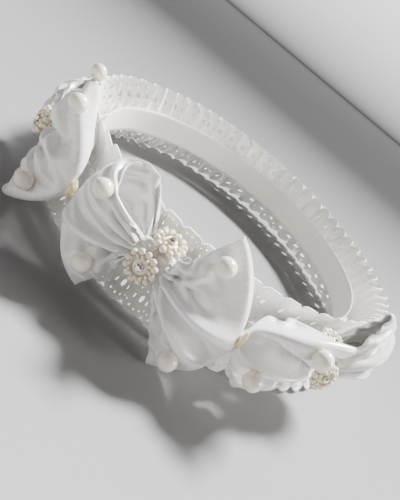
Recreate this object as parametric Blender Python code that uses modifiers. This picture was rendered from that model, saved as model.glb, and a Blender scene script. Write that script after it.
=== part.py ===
"""Flower crown: a wired ribbon band with lace ruffles all round and three looped ribbon bows in front.

Metres, +Z up. The origin is the middle of the head opening, on the plane that the lower ruffle rests on.
The middle bow faces -Y. Angles round the crown run from -Y towards +X.
"""

from math import cos, pi, radians, sin

import bmesh
import bpy
from mathutils import Matrix, Vector

# Driving dimensions
HEAD_RADIUS = 0.0858
GAP = 0.0003
RING_STEPS = 56

BAND_THICKNESS = 0.0006
BAND_HEIGHT = 0.017
BAND_MIDDLE = 0.025

WIRE_RADIUS = 0.0008
WIRE_STEPS = 48
SLEEVE_WALL = 0.0005
SLEEVE_LENGTH = 0.008
SLEEVE_STEPS = 12
WIRE_END_GAP = 0.0008
CASING_WALL = 0.0005
CASING_SLIT_HALF_ANGLE = radians(24)
CASING_STEPS = 7

# Each ruffle's outside, top to bottom, as (how far it flares beyond its sewn edge, height)
LACE_THICKNESS = 0.0008
LACE_FOOT_WIDTH = 0.0018
UPPER_FLARE = ((0.0052, 0.0445), (0.0022, 0.0370), (0.0, 0.0300), (0.0, 0.0254))
LOWER_FLARE = ((0.0, 0.0246), (0.0016, 0.0185), (0.0056, 0.0100), (0.0122, 0.0))

BOW_ANGLES = {"bow_1": -45.0, "bow_2": 0.0, "bow_3": 45.0}
BOW_HEIGHT = 0.031
WING_RADIUS = 0.115
RIBBON_THICKNESS = 0.0008
WING_STEPS_ALONG = 13
WING_STEPS_ACROSS = 6

KNOT_HALF_WIDTH = 0.0058
KNOT_HALF_HEIGHT = 0.0054
KNOT_BACK = 0.1003
KNOT_FRONT = 0.1130
KNOT_EDGE = 0.002
PAD_BACK = 0.0958
PAD_FRONT = 0.0998
PAD_HALF_WIDTH = 0.009
PAD_BOTTOM = 0.021
PAD_TOP = 0.036
PAD_EDGE = 0.0012

BEAD_RADIUS = 0.0014
BEAD_COUNT = 12
BEAD_RING_RADIUS = 0.0057
CUP_RADIUS = 0.0035
CUP_BASE = 0.0003
CUP_FLOOR = 0.0026
CUP_STEPS = 14
STONE_RADIUS = 0.0016
STONE_TABLE_SHARE = 0.55
STONE_HEIGHT = 0.0010
STONE_SIDES = 8
PEARL_RADIUS = 0.004

# Each dab lies between two neighbouring bows, at (degrees round the crown, radius, height)
GLUE_HALF_SIZE = (0.0013, 0.0016, 0.0042)
GLUE_PLACES = ((-22.5, 0.1130, 0.027), (22.5, 0.1180, 0.0315))

# Name, colour, roughness and metallic value of each finish
FINISHES = {
    "satin": ((0.90, 0.89, 0.88), 0.32, 0.0),
    "lace": ((0.93, 0.92, 0.89), 0.80, 0.0),
    "band_ribbon": ((0.92, 0.90, 0.85), 0.60, 0.0),
    "felt": ((0.90, 0.88, 0.83), 0.95, 0.0),
    "pearl": ((0.93, 0.89, 0.80), 0.22, 0.0),
    "bead": ((0.90, 0.85, 0.72), 0.30, 0.0),
    "rhinestone": ((0.75, 0.74, 0.70), 0.05, 0.0),
    "wire": ((0.62, 0.62, 0.64), 0.35, 1.0),
    "glue": ((0.84, 0.72, 0.40), 0.30, 0.0),
}


def ring_point(angle, radius, height):
    """A point round the crown; the angle is in radians from -Y towards +X."""
    return Vector((radius * sin(angle), -radius * cos(angle), height))


def clear_scene():
    for old in list(bpy.data.objects):
        bpy.data.objects.remove(old, do_unlink=True)


def make_materials():
    materials = {}
    for name, (colour, roughness, metallic) in FINISHES.items():
        material = bpy.data.materials.new(name)
        material.use_nodes = True
        shader = material.node_tree.nodes["Principled BSDF"]
        shader.inputs["Base Color"].default_value = (*colour, 1.0)
        shader.inputs["Roughness"].default_value = roughness
        shader.inputs["Metallic"].default_value = metallic
        materials[name] = material
    return materials


class Kit:
    """Puts objects in the crown's collection with a material and a parent."""

    def __init__(self, collection, materials):
        self.collection = collection
        self.materials = materials

    def add(self, name, data, finish, parent=None, matrix=None):
        piece = bpy.data.objects.new(name, data)
        self.collection.objects.link(piece)
        if not data.materials:
            data.materials.append(self.materials[finish])
        if parent is not None:
            piece.parent = parent
        if matrix is not None:
            piece.matrix_local = matrix
        return piece

    def empty(self, name, parent=None, turn=0.0):
        holder = bpy.data.objects.new(name, None)
        holder.empty_display_size = 0.01
        holder.rotation_euler = (0.0, 0.0, turn)
        self.collection.objects.link(holder)
        if parent is not None:
            holder.parent = parent
        return holder


def smooth(mesh, sharp_angle=radians(40)):
    mesh.shade_smooth()
    mesh.set_sharp_from_angle(angle=sharp_angle)


def profile_mesh(name, points, closed):
    """Edges along a turned profile, given as (radius, height) pairs."""
    mesh = bpy.data.meshes.new(name)
    count = len(points)
    edges = [(i, i + 1) for i in range(count - 1)]
    if closed:
        edges.append((count - 1, 0))
    mesh.from_pydata([(radius, 0.0, height) for radius, height in points], edges, [])
    return mesh


def turn(piece, steps):
    screw = piece.modifiers.new("Turn", "SCREW")
    screw.axis = "Z"
    screw.angle = 2 * pi
    screw.steps = steps
    screw.render_steps = steps
    screw.use_merge_vertices = True
    screw.merge_threshold = 0.00005
    screw.use_smooth_shade = True


def tube_curve(name, points, radius):
    """A round rod along the points, with filled ends."""
    curve = bpy.data.curves.new(name, "CURVE")
    curve.dimensions = "3D"
    curve.bevel_depth = radius
    curve.bevel_resolution = 2
    curve.use_fill_caps = True
    spline = curve.splines.new("POLY")
    spline.points.add(len(points) - 1)
    for knot, point in zip(spline.points, points):
        knot.co = (*point, 1.0)
    return curve


# The band: an inner ribbon, a wire in a folded casing, and the sleeve that joins the wire's ends


def casing_bore():
    """The casing's inner radius, which clears the sleeve on the wire."""
    return WIRE_RADIUS + GAP + SLEEVE_WALL + GAP


def wire_track_radius():
    """Distance of the wire from the crown's axis, outside the inner ribbon and the casing's wall."""
    return HEAD_RADIUS + BAND_THICKNESS + GAP + CASING_WALL + casing_bore()


def build_band(kit, root):
    low = BAND_MIDDLE - BAND_HEIGHT / 2
    high = BAND_MIDDLE + BAND_HEIGHT / 2
    outer = HEAD_RADIUS + BAND_THICKNESS
    section = [(outer, high), (outer, low), (HEAD_RADIUS, low), (HEAD_RADIUS, high)]
    band = kit.add("inner_band", profile_mesh("inner_band", section, True), "band_ribbon", root)
    turn(band, RING_STEPS)


def build_casing(kit, root):
    centre = wire_track_radius()
    first = -pi / 2 - CASING_SLIT_HALF_ANGLE
    sweep = 2 * pi - 2 * CASING_SLIT_HALF_ANGLE
    angles = [first - sweep * i / CASING_STEPS for i in range(CASING_STEPS + 1)]

    def arc(radius):
        return [(centre + radius * cos(angle), BAND_MIDDLE + radius * sin(angle)) for angle in angles]

    section = arc(casing_bore() + CASING_WALL) + arc(casing_bore())[::-1]
    casing = kit.add("wire_casing", profile_mesh("wire_casing", section, True), "band_ribbon", root)
    turn(casing, RING_STEPS)


def build_wire(kit, root):
    track = wire_track_radius()
    half_gap = WIRE_END_GAP / 2 / track
    sweep = 2 * pi - 2 * half_gap
    angles = [pi + half_gap + sweep * i / WIRE_STEPS for i in range(WIRE_STEPS + 1)]
    points = [ring_point(angle, track, BAND_MIDDLE) for angle in angles]
    kit.add("ring_wire", tube_curve("ring_wire", points, WIRE_RADIUS), "wire", root)

    bore = WIRE_RADIUS + GAP
    half = SLEEVE_LENGTH / 2
    section = [(bore + SLEEVE_WALL, half), (bore + SLEEVE_WALL, -half), (bore, -half), (bore, half)]
    rise_of_wire = half**2 / (2 * track)
    seat = Matrix.Translation((0.0, track - rise_of_wire / 2, BAND_MIDDLE))
    place = seat @ Matrix.Rotation(pi / 2, 4, "Y")
    mesh = profile_mesh("wire_sleeve", section, True)
    sleeve = kit.add("wire_sleeve", mesh, "wire", root, place)
    turn(sleeve, SLEEVE_STEPS)


# The lace ruffles: plain flared rings above and below the wire


def lace_head_radius():
    """The outer radius of both ruffles where they are sewn to the casing."""
    casing = wire_track_radius() + WIRE_RADIUS + 2 * GAP + SLEEVE_WALL + CASING_WALL
    return casing + GAP + LACE_THICKNESS


def flared_outline(flare):
    """A ruffle's outside, top to bottom, as (radius, height)."""
    head = lace_head_radius()
    return [(head + out, height) for out, height in flare]


def build_ruffles(kit, root):
    for name, flare in {"lace_ruffle_upper": UPPER_FLARE, "lace_ruffle_lower": LOWER_FLARE}.items():
        outside = flared_outline(flare)
        inside = [(radius - LACE_THICKNESS, height) for radius, height in reversed(outside)]
        if flare is LOWER_FLARE:
            inside[0] = (outside[-1][0] - LACE_FOOT_WIDTH, outside[-1][1])
        ruffle = kit.add(name, profile_mesh(name, outside + inside, True), "lace", root)
        turn(ruffle, RING_STEPS)


# The bows: each wing is one open loop of wide ribbon, pinched at the knot

# Where the far fold of each wing lies, as (distance round the crown from the knot, radius, height)
# for its upper corner, its middle and its lower corner. The bows are tied by hand, so no two are alike.
WING_FOLDS = {
    "bow_1_left": ((0.0300, 0.1000, 0.0510), (0.0425, 0.1120, 0.0340), (0.0280, 0.1110, 0.0190)),
    "bow_1_right": ((0.0170, 0.1110, 0.0615), (0.0425, 0.1120, 0.0270), (0.0160, 0.1215, 0.0008)),
    "bow_2_left": ((0.0300, 0.1065, 0.0530), (0.0425, 0.1120, 0.0265), (0.0165, 0.1175, 0.0030)),
    "bow_2_right": ((0.0221, 0.1075, 0.0610), (0.0430, 0.1175, 0.0315), (0.0240, 0.1185, 0.0008)),
    "bow_3_left": ((0.0090, 0.1190, 0.0500), (0.0430, 0.1175, 0.0315), (0.0340, 0.1150, 0.0110)),
    "bow_3_right": ((0.0260, 0.1060, 0.0590), (0.0425, 0.1090, 0.0420), (0.0385, 0.1010, 0.0300)),
}
PINCH_SIDE = 0.0074
PINCH_HALF_HEIGHT = 0.0046
PINCH_FRONT = 0.1112
PINCH_BACK = 0.1035
FRONT_BULGE = 0.0052
BACK_BULGE = 0.0070
LACE_CLEARANCE = 0.0012
CORNER_DRAW_BACK_POWER = 2.2

# The two places between the pinch and the far fold, as (share of the way, share of the bulge)
FRONT_PLACES = ((0.30, 0.7), (0.66, 1.0))
BACK_PLACES = ((0.66, 1.0), (0.30, 0.4))


def blend(a, b, share):
    return a + (b - a) * share


def lace_radius(height):
    """The outer radius of the ruffles at one height."""
    outline = sorted((z, radius) for radius, z in flared_outline(UPPER_FLARE) + flared_outline(LOWER_FLARE))
    for (z1, r1), (z2, r2) in zip(outline, outline[1:]):
        if z1 <= height <= z2:
            return blend(r1, r2, (height - z1) / (z2 - z1))
    return outline[0][1] if height < outline[0][0] else outline[-1][1]


def wing_stations(v, fold):
    """The ribbon's path at one place across it, v from -1 (lower edge) to 1 (upper edge).

    Each station is (distance round the crown from the knot, radius, height).
    """
    top, middle, bottom = fold
    corner = top if v > 0 else bottom
    draw_back = abs(v) ** CORNER_DRAW_BACK_POWER
    far_distance = blend(middle[0], corner[0], draw_back)
    far_radius = blend(middle[1], corner[1], draw_back)
    far_height = blend(middle[2], corner[2], abs(v))
    pinch_height = BOW_HEIGHT + PINCH_HALF_HEIGHT * v

    def between(pinch_radius, share, bulge):
        distance = blend(PINCH_SIDE, far_distance, share)
        height = blend(pinch_height, far_height, share)
        return distance, blend(pinch_radius, far_radius, share) + bulge, height

    def clear_of_lace(station):
        distance, radius, height = station
        return distance, max(radius, lace_radius(height) + LACE_CLEARANCE), height

    front = [between(PINCH_FRONT, share, FRONT_BULGE * part) for share, part in FRONT_PLACES]
    back = [clear_of_lace(between(PINCH_BACK, share, -BACK_BULGE * part)) for share, part in BACK_PLACES]
    return [
        (PINCH_SIDE, PINCH_FRONT, pinch_height),
        *front,
        (far_distance, far_radius, far_height),
        *back,
        (PINCH_SIDE, PINCH_BACK, pinch_height),
    ]


def along(stations, s):
    """A smooth curve through the stations, at s from 0 to the last station's number."""
    last = len(stations) - 1
    i = min(int(s), last - 1)
    t = s - i
    p1, p2 = stations[i], stations[i + 1]
    p0 = stations[i - 1] if i > 0 else tuple(2 * a - b for a, b in zip(p1, p2))
    p3 = stations[i + 2] if i + 2 <= last else tuple(2 * a - b for a, b in zip(p2, p1))
    point = []
    for a, b, c, d in zip(p0, p1, p2, p3):
        square = 2 * a - 5 * b + 4 * c - d
        cube = 3 * b - 3 * c + d - a
        point.append(0.5 * (2 * b + (c - a) * t + square * t**2 + cube * t**3))
    return tuple(point)


def wing_side(wing):
    return -1 if wing.endswith("left") else 1


def wing_point(wing, s, v):
    distance, radius, height = along(wing_stations(v, WING_FOLDS[wing]), s)
    return ring_point(wing_side(wing) * distance / WING_RADIUS, radius, height)


def wing_mesh(wing):
    mesh = bpy.data.meshes.new(wing)
    bm = bmesh.new()
    last = len(wing_stations(0.0, WING_FOLDS[wing])) - 1
    bmesh.ops.create_grid(bm, x_segments=WING_STEPS_ALONG, y_segments=WING_STEPS_ACROSS, size=1.0)
    for vertex in bm.verts:
        s = (vertex.co.x + 1) / 2 * last
        vertex.co = wing_point(wing, s, vertex.co.y)
    bmesh.ops.recalc_face_normals(bm, faces=bm.faces)
    bm.to_mesh(mesh)
    bm.free()
    smooth(mesh)
    return mesh


def build_wings(kit, bow, holder):
    for side_name in ("left", "right"):
        mesh = wing_mesh(f"{bow}_{side_name}")
        wing = kit.add(f"{bow}_loop_{side_name}", mesh, "satin", holder)
        thicken = wing.modifiers.new("Ribbon", "SOLIDIFY")
        thicken.thickness = RIBBON_THICKNESS
        thicken.offset = 0.0


def rounded_box_mesh(name, half_size, edge):
    mesh = bpy.data.meshes.new(name)
    bm = bmesh.new()
    bmesh.ops.create_cube(bm, size=2.0)
    bmesh.ops.scale(bm, vec=half_size, verts=bm.verts)
    bmesh.ops.bevel(bm, geom=list(bm.edges), offset=edge, segments=2, profile=0.5, affect="EDGES")
    bm.to_mesh(mesh)
    bm.free()
    smooth(mesh)
    return mesh


def build_knot_and_pad(kit, bow, holder, meshes):
    knot_place = Matrix.Translation((0.0, -(KNOT_BACK + KNOT_FRONT) / 2, BOW_HEIGHT))
    kit.add(f"{bow}_knot", meshes["knot"], "satin", holder, knot_place)
    pad_place = Matrix.Translation((0.0, -(PAD_BACK + PAD_FRONT) / 2, (PAD_BOTTOM + PAD_TOP) / 2))
    kit.add(f"{bow}_pad", meshes["pad"], "felt", holder, pad_place)


# The pearl flowers: a ring of beads, a pearl cup in its middle and a rhinestone in the cup


def circle_points(radius_at, steps):
    """Points round a circle whose radius may change with the step."""
    turns = [2 * pi * i / steps for i in range(steps)]
    return [(radius_at(i) * cos(angle), radius_at(i) * sin(angle)) for i, angle in enumerate(turns)]


def bead_ring_curve(name):
    """A flat ring with one lobe for each bead, half its height above and below z = 0."""
    bevel_share = 0.4
    points_per_bead = 3
    hole_steps = 16
    curve = bpy.data.curves.new(name, "CURVE")
    curve.dimensions = "2D"
    curve.fill_mode = "BOTH"
    curve.extrude = BEAD_RADIUS * (1 - bevel_share)
    curve.bevel_depth = BEAD_RADIUS * bevel_share
    curve.bevel_resolution = 0

    def lobed(i):
        lobe = sin(pi * (i % points_per_bead) / points_per_bead)
        return BEAD_RING_RADIUS + BEAD_RADIUS * (0.15 + 0.45 * lobe)

    def hole(_):
        return BEAD_RING_RADIUS - BEAD_RADIUS * (1 - bevel_share)

    for loop in (circle_points(lobed, BEAD_COUNT * points_per_bead), circle_points(hole, hole_steps)):
        spline = curve.splines.new("POLY")
        spline.points.add(len(loop) - 1)
        for knot, (x, y) in zip(spline.points, loop):
            knot.co = (x, y, 0.0, 1.0)
        spline.use_cyclic_u = True
    return curve


# The cup's outline from its floor over the rim to its base, as (share of its radius, height)
CUP_OUTLINE = (
    (0.0, CUP_FLOOR),
    (0.56, CUP_FLOOR),
    (0.62, 0.0038),
    (0.78, 0.0041),
    (0.96, 0.0031),
    (1.0, 0.0018),
    (0.88, CUP_BASE),
    (0.0, CUP_BASE),
)


def cup_mesh(name):
    return profile_mesh(name, [(share * CUP_RADIUS, height) for share, height in CUP_OUTLINE], False)


def stone_mesh(name):
    mesh = bpy.data.meshes.new(name)
    bm = bmesh.new()
    table = STONE_RADIUS * STONE_TABLE_SHARE
    sides = STONE_SIDES
    bmesh.ops.create_cone(
        bm, cap_ends=True, segments=sides, radius1=STONE_RADIUS, radius2=table, depth=STONE_HEIGHT
    )
    bm.to_mesh(mesh)
    bm.free()
    return mesh


# Where each flower's back sits and how it faces: sideways shift, radius, height, tilt up from outwards
FLOWER_PLACES = {
    "front": (0.0, 0.1148, 0.0295, radians(10)),
    "top": (0.0018, 0.1060, 0.0389, radians(75)),
}


def flower_matrix(place):
    shift, radius, height, tilt = place
    facing = Matrix.Rotation(pi / 2 - tilt, 4, "X")
    return Matrix.Translation((shift, -radius, height)) @ facing


def build_flowers(kit, bow, holder, meshes):
    for place_name, place in FLOWER_PLACES.items():
        base = f"{bow.replace('bow', 'flower')}_{place_name}"
        seat = flower_matrix(place)
        ring_lift = Matrix.Translation((0.0, 0.0, BEAD_RADIUS))
        kit.add(f"{base}_beads", meshes["beads"], "bead", holder, seat @ ring_lift)
        cup = kit.add(f"{base}_cup", meshes["cup"], "pearl", holder, seat)
        turn(cup, CUP_STEPS)
        stone_lift = Matrix.Translation((0.0, 0.0, CUP_FLOOR + GAP + STONE_HEIGHT / 2))
        kit.add(f"{base}_stone", meshes["stone"], "rhinestone", holder, seat @ stone_lift)


# Loose pearls on each wing: (station along the path, place across) for each one that the wing carries
PEARL_PLACES = {
    "bow_1_left": {"upper": (2.9, 0.88)},
    "bow_1_right": {"upper": (2.6, 0.80), "lower": (2.3, -0.52)},
    "bow_2_left": {"upper": (2.0, 0.72), "lower": (1.6, -0.84)},
    "bow_2_right": {"upper": (2.2, 0.80), "lower": (2.3, -0.76)},
    "bow_3_left": {"upper": (2.5, 0.80), "lower": (2.3, -0.36)},
    "bow_3_right": {},
}


def wing_normal(wing, s, v):
    step = 0.02
    tangent = wing_point(wing, s + step, v) - wing_point(wing, s - step, v)
    across = wing_point(wing, s, v + step) - wing_point(wing, s, v - step)
    normal = tangent.cross(across).normalized()
    outwards = wing_point(wing, s, v) * Vector((1.0, 1.0, 0.0))
    return normal if normal.dot(outwards) > 0 else -normal


def pearl_mesh(name):
    mesh = bpy.data.meshes.new(name)
    bm = bmesh.new()
    bmesh.ops.create_uvsphere(bm, u_segments=10, v_segments=8, radius=PEARL_RADIUS)
    bm.to_mesh(mesh)
    bm.free()
    mesh.shade_smooth()
    return mesh


def build_pearls(kit, bow, holder, mesh):
    stand_off = PEARL_RADIUS + RIBBON_THICKNESS / 2 + GAP
    for side_name in ("left", "right"):
        wing = f"{bow}_{side_name}"
        for level, (s, v) in PEARL_PLACES[wing].items():
            centre = wing_point(wing, s, v) + wing_normal(wing, s, v) * stand_off
            name = f"{wing.replace('bow', 'pearl')}_{level}"
            kit.add(name, mesh, "pearl", holder, Matrix.Translation(centre))


def build_glue(kit, root):
    """A dab of hot glue in the notch between each two neighbouring bows."""
    mesh = bpy.data.meshes.new("glue_dab")
    bm = bmesh.new()
    bmesh.ops.create_uvsphere(bm, u_segments=8, v_segments=6, radius=1.0)
    bmesh.ops.scale(bm, vec=GLUE_HALF_SIZE, verts=bm.verts)
    bm.to_mesh(mesh)
    bm.free()
    mesh.shade_smooth()
    for number, (degrees_round, radius, height) in enumerate(GLUE_PLACES, start=1):
        angle = radians(degrees_round)
        place = Matrix.Translation(ring_point(angle, radius, height)) @ Matrix.Rotation(angle, 4, "Z")
        kit.add(f"glue_dab_{number}", mesh, "glue", root, place)


def build_crown():
    clear_scene()
    collection = bpy.data.collections.new("flower_crown")
    bpy.context.scene.collection.children.link(collection)
    kit = Kit(collection, make_materials())
    root = kit.empty("crown_origin")

    build_band(kit, root)
    build_casing(kit, root)
    build_wire(kit, root)
    build_ruffles(kit, root)

    knot_size = (KNOT_HALF_WIDTH, (KNOT_FRONT - KNOT_BACK) / 2, KNOT_HALF_HEIGHT)
    pad_size = (PAD_HALF_WIDTH, (PAD_FRONT - PAD_BACK) / 2, (PAD_TOP - PAD_BOTTOM) / 2)
    block_meshes = {
        "knot": rounded_box_mesh("knot", knot_size, KNOT_EDGE),
        "pad": rounded_box_mesh("pad", pad_size, PAD_EDGE),
    }
    flower_meshes = {
        "beads": bead_ring_curve("beads"),
        "cup": cup_mesh("cup"),
        "stone": stone_mesh("stone"),
    }
    pearl = pearl_mesh("pearl")
    for bow, angle in BOW_ANGLES.items():
        holder = kit.empty(f"{bow}_place", root, radians(angle))
        build_wings(kit, bow, holder)
        build_knot_and_pad(kit, bow, holder, block_meshes)
        build_flowers(kit, bow, holder, flower_meshes)
        build_pearls(kit, bow, holder, pearl)
    build_glue(kit, root)


build_crown()
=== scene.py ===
"""Flower crown: satin bows, gathered eyelet lace, pearl flowers and loose pearls on a wired ribbon ring.

Run as a script inside the shared frame. Metres, +Z up, the middle bow faces -Y.
Angles round the crown run from -Y towards +X.
"""

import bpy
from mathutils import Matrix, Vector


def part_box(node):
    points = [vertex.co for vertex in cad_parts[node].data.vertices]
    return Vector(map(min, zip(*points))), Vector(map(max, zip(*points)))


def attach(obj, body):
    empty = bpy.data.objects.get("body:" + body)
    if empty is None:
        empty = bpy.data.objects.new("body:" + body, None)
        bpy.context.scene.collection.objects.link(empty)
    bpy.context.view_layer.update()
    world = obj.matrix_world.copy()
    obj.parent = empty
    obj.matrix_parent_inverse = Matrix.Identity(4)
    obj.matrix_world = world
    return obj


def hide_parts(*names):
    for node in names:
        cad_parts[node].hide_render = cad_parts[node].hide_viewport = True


bl_info = {
    "name": "Flower Crown",
    "version": (1, 0, 0),
    "blender": (4, 5, 0),
    "location": "View3D > Sidebar > Flower Crown",
    "description": "Builds a bridal flower crown of satin bows, gathered lace and pearl flowers",
    "category": "Add Mesh",
}

from math import cos, pi, radians, sin, sqrt

import bmesh
import bpy
import numpy as np
from bpy.props import FloatProperty, FloatVectorProperty, PointerProperty
from mathutils import Matrix, Vector
from mathutils.geometry import delaunay_2d_cdt

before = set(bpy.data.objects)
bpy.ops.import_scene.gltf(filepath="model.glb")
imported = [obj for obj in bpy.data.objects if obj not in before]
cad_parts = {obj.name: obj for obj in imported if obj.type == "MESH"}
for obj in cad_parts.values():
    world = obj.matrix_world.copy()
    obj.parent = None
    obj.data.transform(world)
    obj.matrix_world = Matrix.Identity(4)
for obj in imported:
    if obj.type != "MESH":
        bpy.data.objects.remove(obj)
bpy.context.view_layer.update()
BODY = "root"

BOWS = ("bow_1", "bow_2", "bow_3")
SIDES = ("left", "right")


# Measures taken from the frame


def node_middle(node):
    low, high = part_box(node)
    return (low + high) / 2


def ring_point(angle, radius, height):
    """A point round the crown; the angle is in radians from -Y towards +X."""
    return Vector((radius * sin(angle), -radius * cos(angle), height))


def angle_of(point):
    return float(np.arctan2(point.x, -point.y))


def radius_of(point):
    return sqrt(point.x**2 + point.y**2)


def bow_angle(bow):
    return angle_of(node_middle(f"{bow}_knot"))


BAND_LOW, BAND_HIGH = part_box("inner_band")
BAND_RADIUS = BAND_HIGH.x
SEAM_HEIGHT = (BAND_LOW.z + BAND_HIGH.z) / 2
BOW_HEIGHT = node_middle("bow_2_knot").z
UPPER_LACE_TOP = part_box("lace_ruffle_upper")[1]
LOWER_LACE_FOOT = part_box("lace_ruffle_lower")[1]


# Helpers that the pieces share


def deselect_all():
    for piece in list(bpy.context.selected_objects):
        piece.select_set(False)


def make_active(piece):
    deselect_all()
    piece.select_set(True)
    bpy.context.view_layer.objects.active = piece


def apply_modifier(piece, modifier):
    make_active(piece)
    bpy.ops.object.modifier_apply(modifier=modifier.name)


def apply_place(piece):
    make_active(piece)
    bpy.ops.object.transform_apply(location=True, rotation=True, scale=True)


def name_active(name):
    """Names the object that an operator has just added, and applies its place."""
    piece = bpy.context.active_object
    piece.name = name
    apply_place(piece)
    return piece


def add_object(name, data):
    piece = bpy.data.objects.new(name, data)
    bpy.context.scene.collection.objects.link(piece)
    return piece


def settle(piece, material, slot, nodes=()):
    """Gives a finished piece its material and its body, and hides the nodes that it stands for; the slot is
    not used.
    """
    piece.data.materials.clear()
    piece.data.materials.append(material)
    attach(piece, BODY)
    if nodes:
        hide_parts(*nodes)
    return piece


def piece_from(bm, name):
    """Closes a bmesh into a new object, shaded smooth."""
    mesh = bpy.data.meshes.new(name)
    bm.to_mesh(mesh)
    bm.free()
    mesh.shade_smooth()
    return add_object(name, mesh)


def join_copies(name, source, matrices):
    """One mesh object that holds a copy of the source's mesh at each place."""
    bm = bmesh.new()
    for matrix in matrices:
        mesh = source.data.copy()
        mesh.transform(matrix)
        bm.from_mesh(mesh)
        bpy.data.meshes.remove(mesh)
    return piece_from(bm, name)


def select_where(piece, test, kind="FACE"):
    """In edit mode, selects the faces or vertices of the active piece whose place passes the test."""
    bpy.ops.mesh.select_all(action="DESELECT")
    bm = bmesh.from_edit_mesh(piece.data)
    if kind == "FACE":
        for face in bm.faces:
            face.select_set(bool(test(face.calc_center_median(), face.normal)))
    else:
        for vertex in bm.verts:
            vertex.select_set(bool(test(vertex.co, vertex.normal)))
        bm.select_flush_mode()
    bmesh.update_edit_mesh(piece.data)


def select_edges(piece, test):
    """In edit mode, selects the edges of the active piece whose two ends together pass the test."""
    bpy.ops.mesh.select_all(action="DESELECT")
    bm = bmesh.from_edit_mesh(piece.data)
    for edge in bm.edges:
        first, second = edge.verts
        edge.select_set(bool(test(first.co, second.co)))
    bmesh.update_edit_mesh(piece.data)


def grid_mesh(name, points, spacing, closed_rows=False):
    """A sheet from points (rows, columns, 3), with a UV map in metres across the flat sheet."""
    rows, columns = points.shape[:2]
    mesh = bpy.data.meshes.new(name)
    faces = []
    last_row = rows if closed_rows else rows - 1
    for i in range(last_row):
        here, below = i * columns, (i + 1) % rows * columns
        for j in range(columns - 1):
            faces.append((here + j, below + j, below + j + 1, here + j + 1))
    mesh.from_pydata(points.reshape(-1, 3).tolist(), [], faces)
    layer = mesh.uv_layers.new(name="Flat")
    for polygon, face in zip(mesh.polygons, faces):
        row = face[0] // columns
        column = face[0] % columns
        corners = ((row, column), (row + 1, column), (row + 1, column + 1), (row, column + 1))
        for loop, (i, j) in zip(polygon.loop_indices, corners):
            layer.data[loop].uv = (i * spacing[0], j * spacing[1])
    return mesh


def thicken(piece, thickness):
    solid = piece.modifiers.new("Thickness", "SOLIDIFY")
    solid.thickness = thickness
    solid.offset = 0.0
    solid.use_rim = True
    apply_modifier(piece, solid)


def subdivide(piece, levels):
    smooth = piece.modifiers.new("Smooth", "SUBSURF")
    smooth.levels = levels
    smooth.render_levels = levels
    apply_modifier(piece, smooth)


def tube_points(path, radii, sides):
    """Rings of points round a path, without twist: an array (length, sides, 3)."""
    path = np.asarray(path, float)
    tangents = np.gradient(path, axis=0)
    tangents /= np.linalg.norm(tangents, axis=1, keepdims=True)
    rings = []
    normal = np.cross(tangents[0], (0.31, 0.52, 0.80))
    for point, tangent, radius in zip(path, tangents, radii):
        normal = normal - tangent * normal.dot(tangent)
        normal = normal / np.linalg.norm(normal)
        side = np.cross(tangent, normal)
        turns = np.linspace(0, 2 * pi, sides, endpoint=False)
        ring = point + radius * (np.cos(turns)[:, None] * normal + np.sin(turns)[:, None] * side)
        rings.append(ring)
    return np.array(rings)


def add_tube(bm, path, radii, sides=6):
    """Adds a capped tube to an open bmesh."""
    rings = tube_points(path, radii, sides)
    made = [[bm.verts.new(point) for point in ring] for ring in rings]
    for ring, following in zip(made, made[1:]):
        for k in range(sides):
            bm.faces.new((ring[k], ring[(k + 1) % sides], following[(k + 1) % sides], following[k]))
    bm.faces.new(list(reversed(made[0])))
    bm.faces.new(made[-1])


def blend(a, b, share):
    return a + (b - a) * share


def smooth_step(x):
    x = np.clip(x, 0.0, 1.0)
    return x * x * (3 - 2 * x)


def curve_through(knots, places, at):
    """The lowest polynomial that passes through each place at its knot."""
    total = 0.0
    for i, place in enumerate(places):
        share = np.ones_like(at)
        for j, knot in enumerate(knots):
            if j != i:
                share = share * (at - knot) / (knots[i] - knot)
        total = total + share[..., None] * np.array(place)
    return total


# Materials


def new_material(name):
    material = bpy.data.materials.new(name)
    material.use_nodes = True
    nodes = material.node_tree.nodes
    return material, nodes, material.node_tree.links, nodes["Principled BSDF"]


def colour_ramp(nodes, stops):
    ramp = nodes.new("ShaderNodeValToRGB")
    elements = ramp.color_ramp.elements
    elements[0].position, elements[0].color = stops[0][0], (*stops[0][1], 1.0)
    elements[1].position, elements[1].color = stops[1][0], (*stops[1][1], 1.0)
    for position, colour in stops[2:]:
        element = elements.new(position)
        element.color = (*colour, 1.0)
    return ramp


def colour_from(nodes, links, mask, stops, target):
    """Colours a socket by a mask, through a ramp."""
    ramp = colour_ramp(nodes, stops)
    links.new(mask, ramp.inputs["Fac"])
    links.new(ramp.outputs["Color"], target)


def set_inputs(node, values):
    """Sets a node's own sockets, by name."""
    for name, value in values.items():
        node.inputs[name].default_value = value


def maths(nodes, links, operation, first, second):
    """The result of a maths node; each input is a number or the socket that feeds it."""
    node = nodes.new("ShaderNodeMath")
    node.operation = operation
    for socket, value in zip(node.inputs, (first, second)):
        if isinstance(value, bpy.types.NodeSocket):
            links.new(value, socket)
        else:
            socket.default_value = value
    return node.outputs[0]


def noise_node(nodes, links, vector, **values):
    node = nodes.new("ShaderNodeTexNoise")
    set_inputs(node, values)
    links.new(vector, node.inputs["Vector"])
    return node


def new_group(name, inputs, outputs):
    """A shader node group with its sockets; gives the group and its input and output nodes."""
    group = bpy.data.node_groups.new(name, "ShaderNodeTree")
    for called, value in inputs.items():
        socket = group.interface.new_socket(name=called, in_out="INPUT", socket_type="NodeSocketFloat")
        socket.default_value = value
    for called in outputs:
        group.interface.new_socket(name=called, in_out="OUTPUT", socket_type="NodeSocketFloat")
    return group, group.nodes.new("NodeGroupInput"), group.nodes.new("NodeGroupOutput")


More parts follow.
